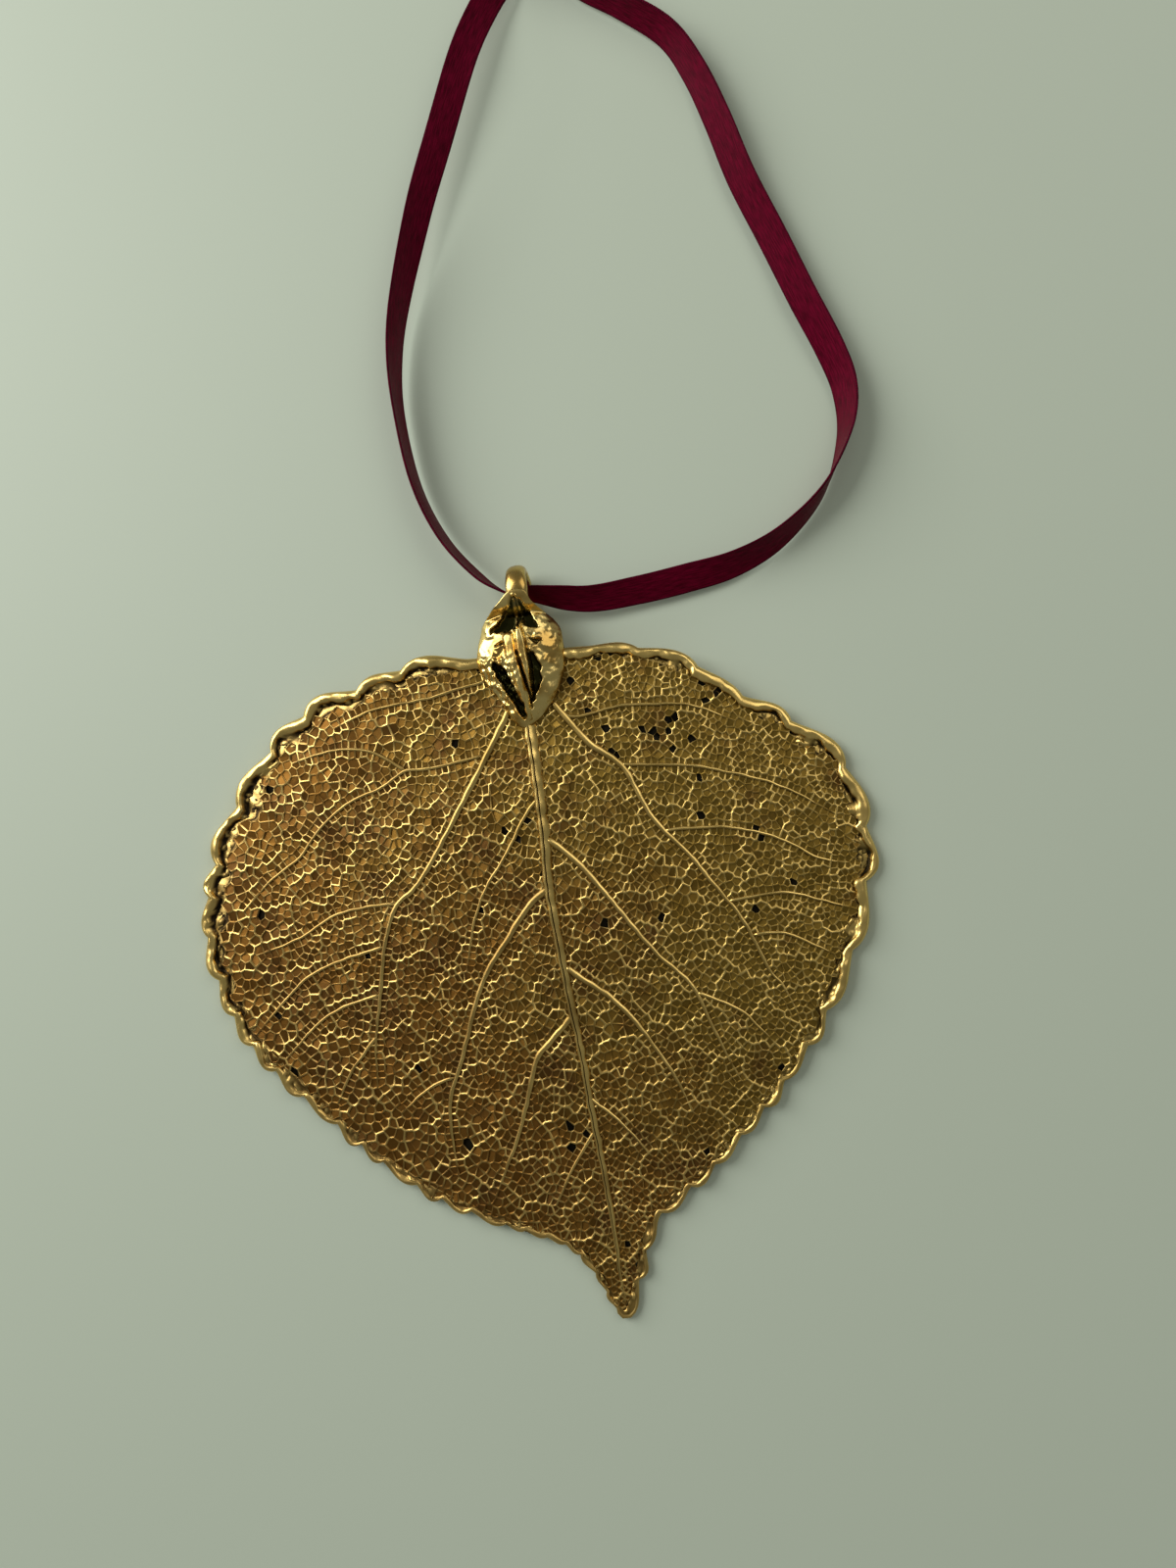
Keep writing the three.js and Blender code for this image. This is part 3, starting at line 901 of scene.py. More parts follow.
# Course of each vein by its rank, from its root to its end, in mm from the eye.
COURSES: dict[VeinRank, tuple[tuple[Share, ...], ...]] = {
    VeinRank.MIDRIB: (
        ((-0.8, -12.6), (-0.7, -18.8), (-0.7, -25.0), (-1.0, -30.4), (-0.7, -36.0), (-0.5, -41.0),
         (0.0, -47.0), (0.2, -53.0), (0.6, -59.0), (0.8, -65.0), (0.9, -70.0), (1.0, -73.2)),
    ),
    VeinRank.LATERAL: (
        ((-2.6, -11.8), (-7.4, -18.9), (-12.8, -26.3), (-15.0, -28.8), (-17.2, -30.4), (-19.0, -34.6),
         (-20.0, -39.0), (-21.2, -44.0), (-21.6, -48.1)),
        ((-0.9, -30.4), (-3.3, -32.0), (-5.7, -34.8), (-9.3, -39.4), (-12.3, -46.5), (-14.3, -51.4),
         (-14.4, -58.0)),
        ((-0.4, -43.6), (-3.0, -46.0), (-4.8, -47.9), (-7.1, -54.0), (-10.2, -60.0)),
        ((1.8, -11.6), (4.9, -16.3), (8.0, -19.2), (10.4, -24.8), (13.6, -29.0), (15.3, -31.8),
         (18.1, -36.4), (19.8, -41.2), (21.2, -43.5), (22.2, -46.5)),
        ((-0.6, -25.4), (2.3, -28.3), (5.8, -33.6), (8.8, -38.2), (12.0, -42.0), (13.8, -47.2),
         (15.5, -51.8)),
        ((-0.5, -38.6), (4.0, -42.5), (6.5, -46.0), (9.0, -50.7), (10.2, -54.0)),
    ),
    VeinRank.BRANCH: (
        ((-4.6, -8.6), (-7.9, -9.0), (-10.8, -9.5), (-16.8, -9.8), (-21.0, -11.0)),
        ((-6.0, -16.2), (-11.6, -16.7), (-14.3, -16.6), (-17.2, -18.0), (-20.4, -18.9), (-24.0, -21.1),
         (-26.9, -24.0), (-30.5, -26.1), (-33.6, -28.6)),
        ((-14.3, -16.6), (-17.5, -14.2), (-21.5, -13.4), (-26.0, -14.0)),
        ((-17.0, -30.1), (-20.2, -30.0), (-24.1, -30.6), (-28.0, -32.4), (-32.5, -33.5)),
        ((-18.9, -34.3), (-23.3, -35.1), (-27.4, -36.4), (-30.9, -39.0), (-33.8, -41.6)),
        ((-20.0, -39.2), (-23.6, -39.9), (-26.6, -41.1), (-31.0, -44.6)),
        ((-21.0, -43.4), (-24.0, -46.5), (-26.0, -49.6)),
        ((-0.7, -21.2), (-2.2, -22.6), (-5.0, -26.6), (-7.4, -29.6), (-9.0, -32.6), (-10.6, -37.6)),
        ((-13.4, -48.5), (-16.0, -49.2), (-19.2, -51.4)),
        ((2.6, -13.2), (4.6, -13.6), (8.9, -13.1), (12.6, -13.5), (15.5, -13.9), (19.6, -16.0)),
        ((7.9, -19.0), (14.4, -20.0), (17.6, -20.9), (23.3, -23.2), (28.3, -26.6)),
        ((11.4, -26.2), (17.5, -26.7), (22.4, -28.4), (26.4, -31.0), (29.2, -31.8)),
        ((16.8, -34.1), (22.2, -33.9), (25.3, -34.9), (29.0, -36.4)),
        ((18.8, -37.7), (22.2, -38.1), (26.4, -40.6)),
        ((12.4, -42.8), (16.4, -45.0), (19.2, -48.4)),
        ((0.1, -52.0), (3.0, -54.9), (5.6, -58.6)),
        ((0.2, -55.5), (-2.6, -59.2), (-4.6, -62.4)),
    ),
}
VEINS = tuple(Vein(rank, course) for rank, courses in COURSES.items() for course in courses)


# The rim's trough. Each corner: share of the way inwards, level in half thicknesses of the blade, and
# how much of it a pocket sinks and darkens with painted shade; the last three corners are on the back.
TROUGH = (
    (0.08, -0.2, 1.0), (0.2, -0.45, 1.0), (0.35, -0.5, 1.0), (0.5, -0.5, 1.0), (0.65, -0.45, 1.0),
    (0.8, -0.1, 0.9), (0.92, 0.1, 0.5), (1.0, 0.1, 0.0), (1.0, -0.6, 0.0), (0.7, -0.45, 0.0),
    (0.3, -0.3, 0.0),
)
# Places with more pinholes, deep cells painted black as the shade seen through a hole: x and y in mm from
# the eye, reach in mm, and the chance there.
PINHOLES = (
    (12.0, -15.5, 2.5, 0.25), (17.5, -12.5, 2.2, 0.3), (8.0, -17.5, 1.5, 0.3),
    (-2.0, -56.0, 3.0, 0.1), (-3.5, -25.0, 3.5, 0.1), (4.0, -35.0, 3.0, 0.12),
)


@dataclass
class Leaf:
    """The plated leaf: a blade with a net of fine veins, its ribs and its beaded rim."""

    eye: Vector
    low: Vector
    high: Vector
    gold: bpy.types.Material
    length: float = 67.4 * MM
    blade_half: float = 0.3 * MM
    bead: float = 0.63 * MM
    flange: float = 0.8 * MM
    overlap: float = 0.4 * MM
    floor_depth: float = 0.18 * MM
    slope: float = 0.085 * MM
    capped: float = 10.9 * MM
    rest: float = 0.55 * MM
    sag: float = 0.18 * MM
    cell: float = 0.59 * MM
    cell_tries: int = 70000
    beside: float = 0.34 * MM
    beside_step: float = 0.68 * MM
    beside_gap: float = 0.4 * MM
    coarse_cell: float = 3.1 * MM
    coarse_tries: int = 6000
    coarse_edge: float = 0.065 * MM
    shortest_edge: float = 0.09 * MM
    clogged_above: float = 0.76
    clogged_depth: float = 0.04 * MM
    stray_pinhole: float = 0.004
    margin_step: float = 0.3 * MM
    ease: int = 31
    outline: tuple[Share, ...] = (
        (0.0, 0.0), (0.13, -0.005), (0.32, 0.005), (0.5, 0.035), (0.66, 0.1), (0.82, 0.155),
        (0.95, 0.22), (1.0, 0.3), (0.985, 0.38), (0.93, 0.475), (0.83, 0.56), (0.71, 0.64),
        (0.56, 0.717), (0.39, 0.787), (0.25, 0.832), (0.15, 0.868), (0.1, 0.92), (0.05, 0.98),
        (0.025, 1.0), (0.0, 0.98), (-0.035, 0.935), (-0.1, 0.89), (-0.25, 0.85), (-0.42, 0.8),
        (-0.55, 0.745), (-0.68, 0.68), (-0.82, 0.6), (-0.925, 0.52), (-0.985, 0.43), (-1.0, 0.345),
        (-0.96, 0.255), (-0.88, 0.165), (-0.77, 0.09), (-0.62, 0.025), (-0.45, 0.0), (-0.3, -0.02),
        (-0.12, -0.01),
    )
    runs: tuple[ToothRun, ...] = (
        ToothRun(0.03, 1, 0.0), ToothRun(0.11, 3, 0.5 * MM, 0.4 * MM), ToothRun(0.2, 3, 0.95 * MM),
        ToothRun(0.29, 3, 1.0 * MM, 0.0), ToothRun(0.38, 5, 0.7 * MM, -0.1 * MM),
        ToothRun(0.47, 5, 0.7 * MM, -0.45 * MM), ToothRun(0.54, 7, 0.3 * MM, -0.45 * MM),
        ToothRun(0.62, 5, 0.7 * MM, -0.55 * MM), ToothRun(0.71, 5, 0.75 * MM, 0.0),
        ToothRun(0.79, 4, 0.8 * MM, 0.3 * MM), ToothRun(0.88, 3, 1.1 * MM, 0.65 * MM),
        ToothRun(0.97, 3, 1.0 * MM, 0.75 * MM), ToothRun(1.0, 1, 0.0),
    )
    dice: random.Random = field(default_factory=lambda: random.Random(7))

    def __post_init__(self) -> None:
        """Works out the smooth margin that everything in the leaf is measured from."""
        self.reach_right = self.high.x - self.eye.x - 0.45 * MM
        self.reach_left = self.eye.x - self.low.x - 0.65 * MM
        self.tip_y = self.low.y + 0.5 * MM
        self.base_y = self.tip_y + self.length
        points = np.array([self._on_leaf(a, d) for a, d in self.outline])
        line = spline(points, closed=True, per_span=40)
        self.total = lengths_along(line, 2)[-1]
        self.smooth_line = line
        self.toothed, self.margin, self.inward, self.flanges = self._margin()

    def _on_leaf(self, across: float, down: float) -> Share:
        """A point from its shares of the half width and the length.

        Args:
            across: Share of that side's reach, negative on the left.
            down: Share of the length from the stalk.

        Returns:
            x and y in the frame.
        """
        reach = self.reach_left if across < 0 else self.reach_right
        return self.eye.x + across * reach, self.base_y - down * self.length

    def height(self, x: float, y: float) -> float:
        """Height of the middle of the blade: level in the cap, arched down to rim and tip.

        Args:
            x: Place across.
            y: Place along.

        Returns:
            The height.
        """
        up = min(1.0, max(0.0, (y - self.tip_y) / self.length) / (1.0 - self.capped / self.length))
        reach = self.reach_left if x < self.eye.x else self.reach_right
        out = min(1.0, abs(x - self.eye.x) / reach)
        arch = self.rest + (self.eye.z - self.rest) * smoothstep(0.0, 1.0, up) * (1.0 - out * out)
        return arch + noise.noise(Vector((x, y, 0.0)) * 90.0) * self.sag

    def narrow(self, y: float) -> float:
        """Share of the rim's width at a place along: 1 over most of the leaf, less at its tip."""
        return 1.0 - 0.7 * smoothstep(12.0 * MM, 3.0 * MM, y - self.tip_y)

    # ------------------------------------------------------------ net of fine veins
    def _depth_finder(self) -> Callable[[float, float], tuple[float, float]]:
        """Prepares a quick test of how far inside the smooth margin a point is.

        Returns:
            A function of x and y that gives the depth, negative outside, and the rim's width there.
        """
        tree = KDTree(len(self.margin))
        for i, (x, y) in enumerate(self.margin):
            tree.insert((x, y, 0.0), i)
        tree.balance()

        def depth(x: float, y: float) -> tuple[float, float]:
            """Depth inside the margin.

            Args:
                x: Place across.
                y: Place along.

            Returns:
                The depth, and the width of the rim nearby.
            """
            _, i, _ = tree.find((x, y, 0.0))
            return float(np.dot((x, y) - self.margin[i], self.inward[i])), float(self.flanges[i])

        return depth

    def _spacing(self, x: float, y: float, depth: float) -> tuple[float, float, float]:
        """Size and shape of the net's cells at a place.

        Args:
            x: Place across, from the midrib.
            y: Place along, from the eye.
            depth: Depth inside the margin.

        Returns:
            Least distance between cells, and how it counts across and along.
        """
        size = self.cell
        if x < 0:
            size += 0.14 * MM * smoothstep(18 * MM, 2 * MM, depth) * smoothstep(-4 * MM, -18 * MM, x)
        else:
            size -= 0.08 * MM * smoothstep(14 * MM, 3 * MM, depth)
        size -= 0.1 * MM * smoothstep(-55 * MM, -68 * MM, y)
        middle = smoothstep(26 * MM, 8 * MM, abs(x)) * smoothstep(-12 * MM, -22 * MM, y)
        return size, 1.0 + 0.38 * middle, 1.0 - 0.3 * middle

    def _seeds(self, depth: Callable[[float, float], tuple[float, float]]) -> list[Share]:
        """Scatters the middles of the net's cells, in pairs along each vein.

        Args:
            depth: Gives the depth inside the margin and the rim's width.

        Returns:
            The cells' middles.
        """
        seeds: list[Share] = []
        buckets: dict[tuple[int, int], list[Share]] = {}
        bucket = 1.0 * MM

        def try_seed(x: float, y: float, least: float, across: float, along: float) -> None:
            """Adds a cell's middle if no other is too near.

            Args:
                x: Place across.
                y: Place along.
                least: Least distance.
                across: How distance counts across.
                along: How distance counts along.
            """
            key = (int(x // bucket), int(y // bucket))
            for i in (-1, 0, 1):
                for j in (-1, 0, 1):
                    for px, py in buckets.get((key[0] + i, key[1] + j), ()):
                        if math.hypot((px - x) * across, (py - y) * along) < least:
                            return
            seeds.append((x, y))
            buckets.setdefault(key, []).append((x, y))

        for vein in VEINS:
            line, ahead = self._vein_line(vein, self.beside_step)
            for (x, y), (dx, dy) in zip(line, ahead):
                for way in (-1.0, 1.0):
                    out = way * self.beside
                    try_seed(x - dy * out, y + dx * out, self.beside_gap, 1.0, 1.0)
        span = (self.high.x - self.low.x, self.high.y - self.low.y)
        for _ in range(self.cell_tries):
            x = self.low.x + self.dice.random() * span[0]
            y = self.low.y + self.dice.random() * span[1]
            deep = depth(x, y)[0]
            if deep > -1.0 * MM:
                try_seed(x, y, *self._spacing(x - self.eye.x, y - self.eye.y, deep))
        return seeds

    def _vein_line(self, vein: Vein, step: float) -> tuple[np.ndarray, np.ndarray]:
        """Samples a vein's course.

        Args:
            vein: The vein.
            step: Distance between samples.

        Returns:
            Rows of x and y in the frame, and the direction ahead at each.
        """
        points = np.array(vein.points) * MM + np.array([self.eye.x, self.eye.y])
        line = spline(points, closed=False)
        line = evenly(line, max(3, int(lengths_along(line, 2)[-1] / step) + 1), 2)
        ahead = np.gradient(line, axis=0)
        ahead /= np.linalg.norm(ahead, axis=1)[:, None]
        return line, ahead

    def _net(self) -> bmesh.types.BMesh:
        """Makes the flat net: one face for each cell between the finest veins.

        Returns:
            The net, with each face's group of cells in the layer group.
        """
        depth = self._depth_finder()
        seeds = self._seeds(depth)
        points, _, triangles, *_ = geometry.delaunay_2d_cdt([Vector(s) for s in seeds], [], [], 0, 1e-9)
        centres: list[Vector] = []
        fans: dict[int, list[int]] = {}
        for number, (a, b, c) in enumerate(triangles):
            centres.append(_circumcentre(points[a], points[b], points[c]))
            for corner in (a, b, c):
                fans.setdefault(corner, []).append(number)
        bm = bmesh.new()
        group = bm.faces.layers.int.new("group")
        corners: dict[int, bmesh.types.BMVert] = {}
        groups = self._groups()
        for seed, fan in fans.items():
            middle = points[seed]
            deep, rim = depth(middle.x, middle.y)
            if deep < rim - self.overlap * self.narrow(middle.y):
                continue
            fan.sort(key=lambda n: math.atan2(centres[n].y - middle.y, centres[n].x - middle.x))
            for n in fan:
                if n not in corners:
                    corners[n] = bm.verts.new((centres[n].x, centres[n].y, 0.0))
            face = bm.faces.new([corners[n] for n in fan])
            face[group] = groups(middle.x, middle.y)
        bmesh.ops.remove_doubles(bm, verts=bm.verts, dist=self.shortest_edge)
        return bm

    def _groups(self) -> Callable[[float, float], int]:
        """Scatters the middles of the coarser net, whose veins stand a little higher.

        Returns:
            A function of x and y that gives the number of the coarse cell there.
        """
        kept: list[Share] = []
        for _ in range(self.coarse_tries):
            x = self.dice.uniform(self.low.x, self.high.x)
            y = self.dice.uniform(self.low.y, self.high.y)
            if all(math.hypot((x - a) * 0.85, (y - b) * 1.15) > self.coarse_cell for a, b in kept):
                kept.append((x, y))
        tree = KDTree(len(kept))
        for i, (x, y) in enumerate(kept):
            tree.insert((x, y, 0.0), i)
        tree.balance()
        return lambda x, y: tree.find((x, y, 0.0))[1] + 1

    def _blade(self) -> bpy.types.Object:
        """Makes the blade: the net with sunken cells in front and hollow ones behind.

        Returns:
            The blade.
        """
        bm = self._net()
        group = bm.faces.layers.int["group"]
        ridge = [e for e in bm.edges if len(e.link_faces) == 2
                 and e.link_faces[0][group] != e.link_faces[1][group]]
        bands = bmesh.ops.bevel(
            bm, geom=ridge, offset=self.coarse_edge, segments=1, profile=0.5, material=-1,
            affect="EDGES", clamp_overlap=True,
        )["faces"]
        for face in bands:
            face[group] = 0
        bmesh.ops.recalc_face_normals(bm, faces=bm.faces)
        if sum(f.normal.z for f in bm.faces) < 0:
            bmesh.ops.reverse_faces(bm, faces=bm.faces)
        bmesh.ops.translate(bm, verts=bm.verts, vec=(0.0, 0.0, self.blade_half))
        bmesh.ops.solidify(bm, geom=bm.faces[:], thickness=2.0 * self.blade_half)
        bm.normal_update()
        crest = bm.verts.layers.float.new("crest")
        painted_shade = bm.verts.layers.float.new("painted_shade")
        for v in bm.verts:
            v[crest] = 0.82 * self.dice.random() ** 1.3
        for face in bm.faces:
            if face[group] == 0:
                for v in face.verts:
                    v[crest] = 0.78
        front = [f for f in bm.faces if f.normal.z > 0.7 and f[group] > 0]
        back = [f for f in bm.faces if f.normal.z < -0.7 and f[group] > 0]
        bmesh.ops.inset_individual(bm, faces=front, thickness=0.002 * MM, depth=0.0)
        for face in front:
            face[group] = -1
            self._sink(face, crest, painted_shade)
        for made in bmesh.ops.poke(bm, faces=back)["verts"]:
            made.co.z += self.dice.uniform(0.6, 1.0) * self.floor_depth
            made[crest] = 0.1
        for v in bm.verts:
            wave = noise.noise(v.co * 900.0) * 0.05 * MM
            v.co.z = max(0.0, v.co.z + self.height(v.co.x, v.co.y) + wave)
        return finished("leaf_blade_net", bm, self.gold, flat=lambda f: f[group] == -1)

    def _sink(self, face: bmesh.types.BMFace, crest: Layer, painted_shade: Layer) -> None:
        """Sinks the floor of one cell between its veins.

        Args:
            face: The cell's floor, still at the level of its veins.
            crest: Layer that holds how polished a corner is.
            painted_shade: Layer that holds a corner's painted black shade.
        """
        middle = face.calc_center_median()
        spread = math.sqrt(face.calc_area() / math.pi) * 0.86
        x, y = (middle.x - self.eye.x) / MM, (middle.y - self.eye.y) / MM
        clogged = noise.noise(Vector((x * 0.3, y * 0.3, 3.0))) * 0.35 + 0.5 * self.dice.random()
        right_rim = smoothstep(18.0, 30.0, x) * 0.08
        keep = max(0.42, 1.0 - self.slope / spread) * self.dice.uniform(0.86, 1.04)
        lean = (self.dice.uniform(-0.16, 0.16), self.dice.uniform(-0.16, 0.16))
        drop = self.floor_depth * self.dice.uniform(0.75, 1.15)
        shine = 0.0
        if clogged + right_rim > self.clogged_above:
            drop, keep, shine = self.clogged_depth, 0.7, 0.45
        shade_black = 0.0
        # A pinhole is a deep sink painted black: painted shade in place of a see-through hole.
        if self.dice.random() < self._pit_chance(x, y):
            drop, keep, shade_black, shine = self.blade_half * 1.1, 0.92, 1.0, 0.0
        for v in face.verts:
            v.co.x = middle.x + (v.co.x - middle.x) * keep
            v.co.y = middle.y + (v.co.y - middle.y) * keep
            v.co.z -= drop + (v.co.x - middle.x) * lean[0] + (v.co.y - middle.y) * lean[1]
            v[crest] = shine
            v[painted_shade] = shade_black

    def _pit_chance(self, x: float, y: float) -> float:
        """How likely a cell is to be a pinhole, sunk deep and painted black as shade.

        Args:
            x: Place across in mm from the eye.
            y: Place along in mm from the eye.

        Returns:
            The chance.
        """
        near = (c * smoothstep(r, 0.3 * r, math.hypot(x - a, y - b)) for a, b, r, c in PINHOLES)
        return self.stray_pinhole + sum(near)

    # ------------------------------------------------------------ ribs and rim
    def _rib(self, bm: bmesh.types.BMesh, vein: Vein, crest: Layer, painted_shade: Layer) -> None:
        """Adds one vein as a tapering ridge that stands out of both faces of the blade.

        Args:
            bm: Mesh that collects the ribs.
            vein: The vein.
            crest: Layer that holds how polished a corner is.
            painted_shade: Layer that holds a corner's painted black shade.
        """
        line, ahead = self._vein_line(vein, 0.45 * MM)
        root, end = vein.rank.value
        section = GROOVED if vein.rank is VeinRank.MIDRIB else ROUNDED
        loop: list[bmesh.types.BMVert] = []
        last = len(line) - 1
        for i, (x, y) in enumerate(line):
            radius = root + (end - root) * (i / last) ** 0.8
            radius *= 1.0 + 0.25 * noise.noise(Vector((x, y, 0.0)) * 1200.0)
            sway = 0.1 * MM * noise.noise(Vector((x, y, 0.01)) * 800.0)
            worn = 0.9 + 0.6 * noise.noise(Vector((x, y, 0.03)) * 450.0)
            base = self.height(x, y) + self.blade_half * (0.95 - 0.4 * smoothstep(0.85, 1.0, i / last))
            cap = 0.35 if i in (0, last) else 1.0 - 0.5 * smoothstep(0.8, 1.0, i / last)
            dx, dy = ahead[i]
            fresh = []
            for a, h, polish, shade_black in section:
                ragged = 1.0 + (0.3 * noise.noise(Vector((x, y, a)) * 2600.0) if abs(a) > 0.8 else 0.0)
                across = a * radius * cap * ragged + sway
                high = max(0.0, base + radius * h * cap * 0.8)
                v = bm.verts.new((x + dy * across, y - dx * across, high))
                # Polish and blackness from the section carry the painted highlight and painted shade of
                # the flanks and the groove.
                v[crest] = min(1.0, polish * worn)
                v[painted_shade] = shade_black
                fresh.append(v)
            for k in range(len(loop)):
                bm.faces.new((loop[k - 1], loop[k], fresh[k], fresh[k - 1]))
            if i in (0, last):
                bm.faces.new(fresh)
            loop = fresh

    def _ribs(self) -> bpy.types.Object:
        """Makes all ribs as one piece.

        Returns:
            The ribs.
        """
        bm = bmesh.new()
        crest = bm.verts.layers.float.new("crest")
        painted_shade = bm.verts.layers.float.new("painted_shade")
        for vein in VEINS:
            self._rib(bm, vein, crest, painted_shade)
        return finished("leaf_ribs", bm, self.gold)

    def _upper(self, y: float) -> float:
        """1 in the upper part of the leaf, where the plate is thick, and 0 near its tip."""
        return smoothstep(-54.0 * MM, -36.0 * MM, y - self.eye.y)

    def _rim_width(self, x: float, y: float, held_in: float) -> float:
        """Width of the rim: narrow towards the tip, wide where the plate has left pockets.

        Args:
            x: Place across on the smooth margin.
            y: Place along on the smooth margin.
            held_in: How far the teeth are held inside the smooth margin.

        Returns:
            The width, from the smooth margin inwards.
        """
        left = smoothstep(-8.0 * MM, -26.0 * MM, x - self.eye.x)
        pocket = smoothstep(-0.1, 0.3, noise.noise(Vector((x, y, 0.07)) * 240.0))
        extra = (0.25 + 0.65 * left + pocket * (0.6 + 0.6 * left)) * MM
        return (held_in + self.flange + self._upper(y) * extra) * self.narrow(y)

    def _margin(self) -> tuple[np.ndarray, np.ndarray, np.ndarray, np.ndarray]:
        """Samples the toothed margin; each tooth leans towards the leaf's tip.

        Returns:
            Places on the toothed margin, places on the smooth one, inward directions and rim widths.
        """
        spots, teeth, held = [], [], []
        start = 0.0
        for run in self.runs:
            ends = np.linspace(start, run.end, run.teeth + 1)
            ends[1:-1] += [self.dice.uniform(-0.16, 0.16) * (ends[1] - ends[0]) for _ in ends[1:-1]]
            for low, high in zip(ends, ends[1:]):
                samples = max(8, round((high - low) * self.total / self.margin_step))
                depth = run.depth * self.dice.uniform(0.75, 1.2)
                for i in range(samples):
                    phase = i / samples
                    lean = phase if low < 0.5 else 1.0 - phase
                    spots.append(low + (high - low) * phase)
                    teeth.append(depth * math.sin(math.pi * lean**1.6) ** 0.8)
                    held.append(run.held_in)
            start = run.end
        smooth_margin = at_lengths(self.smooth_line, np.array(spots) * self.total, 2)
        ahead = np.roll(smooth_margin, -2, axis=0) - np.roll(smooth_margin, 2, axis=0)
        ahead /= np.linalg.norm(ahead, axis=1)[:, None]
        inward = np.stack([ahead[:, 1], -ahead[:, 0]], axis=1)
        window = np.ones(self.ease) / self.ease
        shift = np.convolve(np.pad(held, self.ease // 2, mode="wrap"), window, mode="valid")[: len(held)]
        toothed = smooth_margin - inward * (np.array(teeth) - shift)[:, None]
        widths = np.array([self._rim_width(*at, out) for at, out in zip(smooth_margin, shift)])
        return toothed, smooth_margin, inward, widths

    def _rim(self) -> bpy.types.Object:
        """Makes the rim: a round bead along the teeth, and a broken trough inside it whose pockets are
        painted dark as shade.

        Returns:
            The rim.
        """
        toothed = self.toothed
        count = len(toothed)
        bead = [(-math.cos(a), math.sin(a)) for a in (math.radians(d) for d in range(-130, 131, 20))]
        rings = len(bead) + len(TROUGH)

        def corner(u: float, v: float) -> tuple[int, int]:
            """Number of the place along the margin and of the corner of the section."""
            return round(u * count) % count, round(v * rings) % rings

        def pocket(i: int) -> float:
            """How deep the trough is at a place along the margin, and how dark its painted shade.

            Args:
                i: Number of the place.

            Returns:
                1 in a pocket, 0 where the plate has filled it.
            """
            x, y = toothed[i]
            upper = self._upper(y)
            found = smoothstep(-0.3, 0.05, noise.noise(Vector((x, y, 0.02)) * 420.0) + 0.2 * upper)
            return found * (0.35 + 0.65 * upper)

        def crumb(spot: Vector) -> float:
            """1 where a crumb of plate stands in the trough, 0 clear of one."""
            return smoothstep(0.2, 0.34, noise.noise(Vector((spot.x, spot.y, 0.05)) * 2100.0))

        def place(u: float, v: float) -> Vector:
            """A point of the rim's skin.

            Args:
                u: Share along the margin.
                v: Share round the rim's section.

            Returns:
                The point.
            """
            i, k = corner(u, v)
            edge, base, into = toothed[i], self.margin[i], self.inward[i]
            lumpy = 1.0 + 0.45 * noise.noise(Vector((*edge, 0.0)) * 380.0)
            lumpy += 0.3 * noise.noise(Vector((*edge, 0.3 * MM * k)) * 1300.0)
            slim = 0.55 + 0.45 * self._upper(edge[1])
            radius = self.bead * slim * self.narrow(base[1]) ** 0.4 * lumpy
            if k < len(bead):
                out, up = bead[k]
                x, y = edge + into * radius * (1.0 + out)
                return Vector((x, y, max(0.0, self.height(*edge) + up * radius)))
            share, level, sunken = TROUGH[k - len(bead)]
            start = edge + into * radius * 1.65
            inner = base + into * self.flanges[i]
            x, y = start + (inner - start) * share
            ripple = noise.noise(Vector((x, y, 0.0)) * 1500.0) * 0.09 * MM
            filled = 0.5 + (level - 0.5) * (pocket(i) if sunken else 1.0)
            filled += sunken * crumb(Vector((x, y, 0.0)))
            return Vector((x, y, max(0.0, self.height(x, y) + filled * self.blade_half + ripple)))

        def crest(u: float, v: float) -> float:
            """Polish of a corner of the rim.

            Args:
                u: Share along the margin.
                v: Share round the rim's section.

            Returns:
                The polish.
            """
            i, k = corner(u, v)
            upper = self._upper(toothed[i][1])
            if k < len(bead):
                worn = noise.noise(Vector((*toothed[i], 0.05)) * 500.0)
                return 0.55 + 0.4 * upper + 0.3 * worn
            sunken = TROUGH[k - len(bead)][2]
            plain = 0.3 + 0.35 * upper
            # Pockets lose polish towards the dark brown: painted shade; crumbs keep theirs.
            return max(plain * (1.0 - sunken * pocket(i)), 0.75 * sunken * crumb(place(u, v)))

        def painted_shade(u: float, v: float) -> float:
            """Painted black shade of a corner of the rim, in the trough's pockets.

            Args:
                u: Share along the margin.
                v: Share round the rim's section.

            Returns:
                The blackness.
            """
            i, k = corner(u, v)
            if k < len(bead):
                return 0.0
            dark = 0.95 * TROUGH[k - len(bead)][2] * pocket(i)
            return dark * (1.0 - crumb(place(u, v)))

        bm = shaped_grid(count, rings, place, values={"crest": crest, "painted_shade": painted_shade})
        return finished("leaf_rim", bm, self.gold)

    def build(self) -> None:
        """Makes the blade, ribs and rim and hides the plain blade of the frame."""
        blade = self._blade()
        pieces = [blade, self._ribs(), self._rim()]
        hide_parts("leaf_blade")
        for piece in pieces:
            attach(piece, "ornament")


def _circumcentre(a: Vector, b: Vector, c: Vector) -> Vector:
    """Middle of the circle through three points.

    Args:
        a: First point.
        b: Second point.
        c: Third point.

    Returns:
        The middle.
    """
    ab, ac = b - a, c - a
    cross = 2.0 * (ab.x * ac.y - ab.y * ac.x)
    if abs(cross) < 1e-16:
        return (a + b + c) / 3.0
    p, q = ab.length_squared, ac.length_squared
    return Vector((a.x + (ac.y * p - ab.y * q) / cross, a.y + (ab.x * q - ac.x * p) / cross))


# ---------------------------------------------------------------- cap
FRONT_SUNK = 0.4  # how far the front shell's foot is drawn below the frame's, in mm
BACK_RAISED = 0.35  # how far the back shell's inner face is drawn above the frame's, in mm


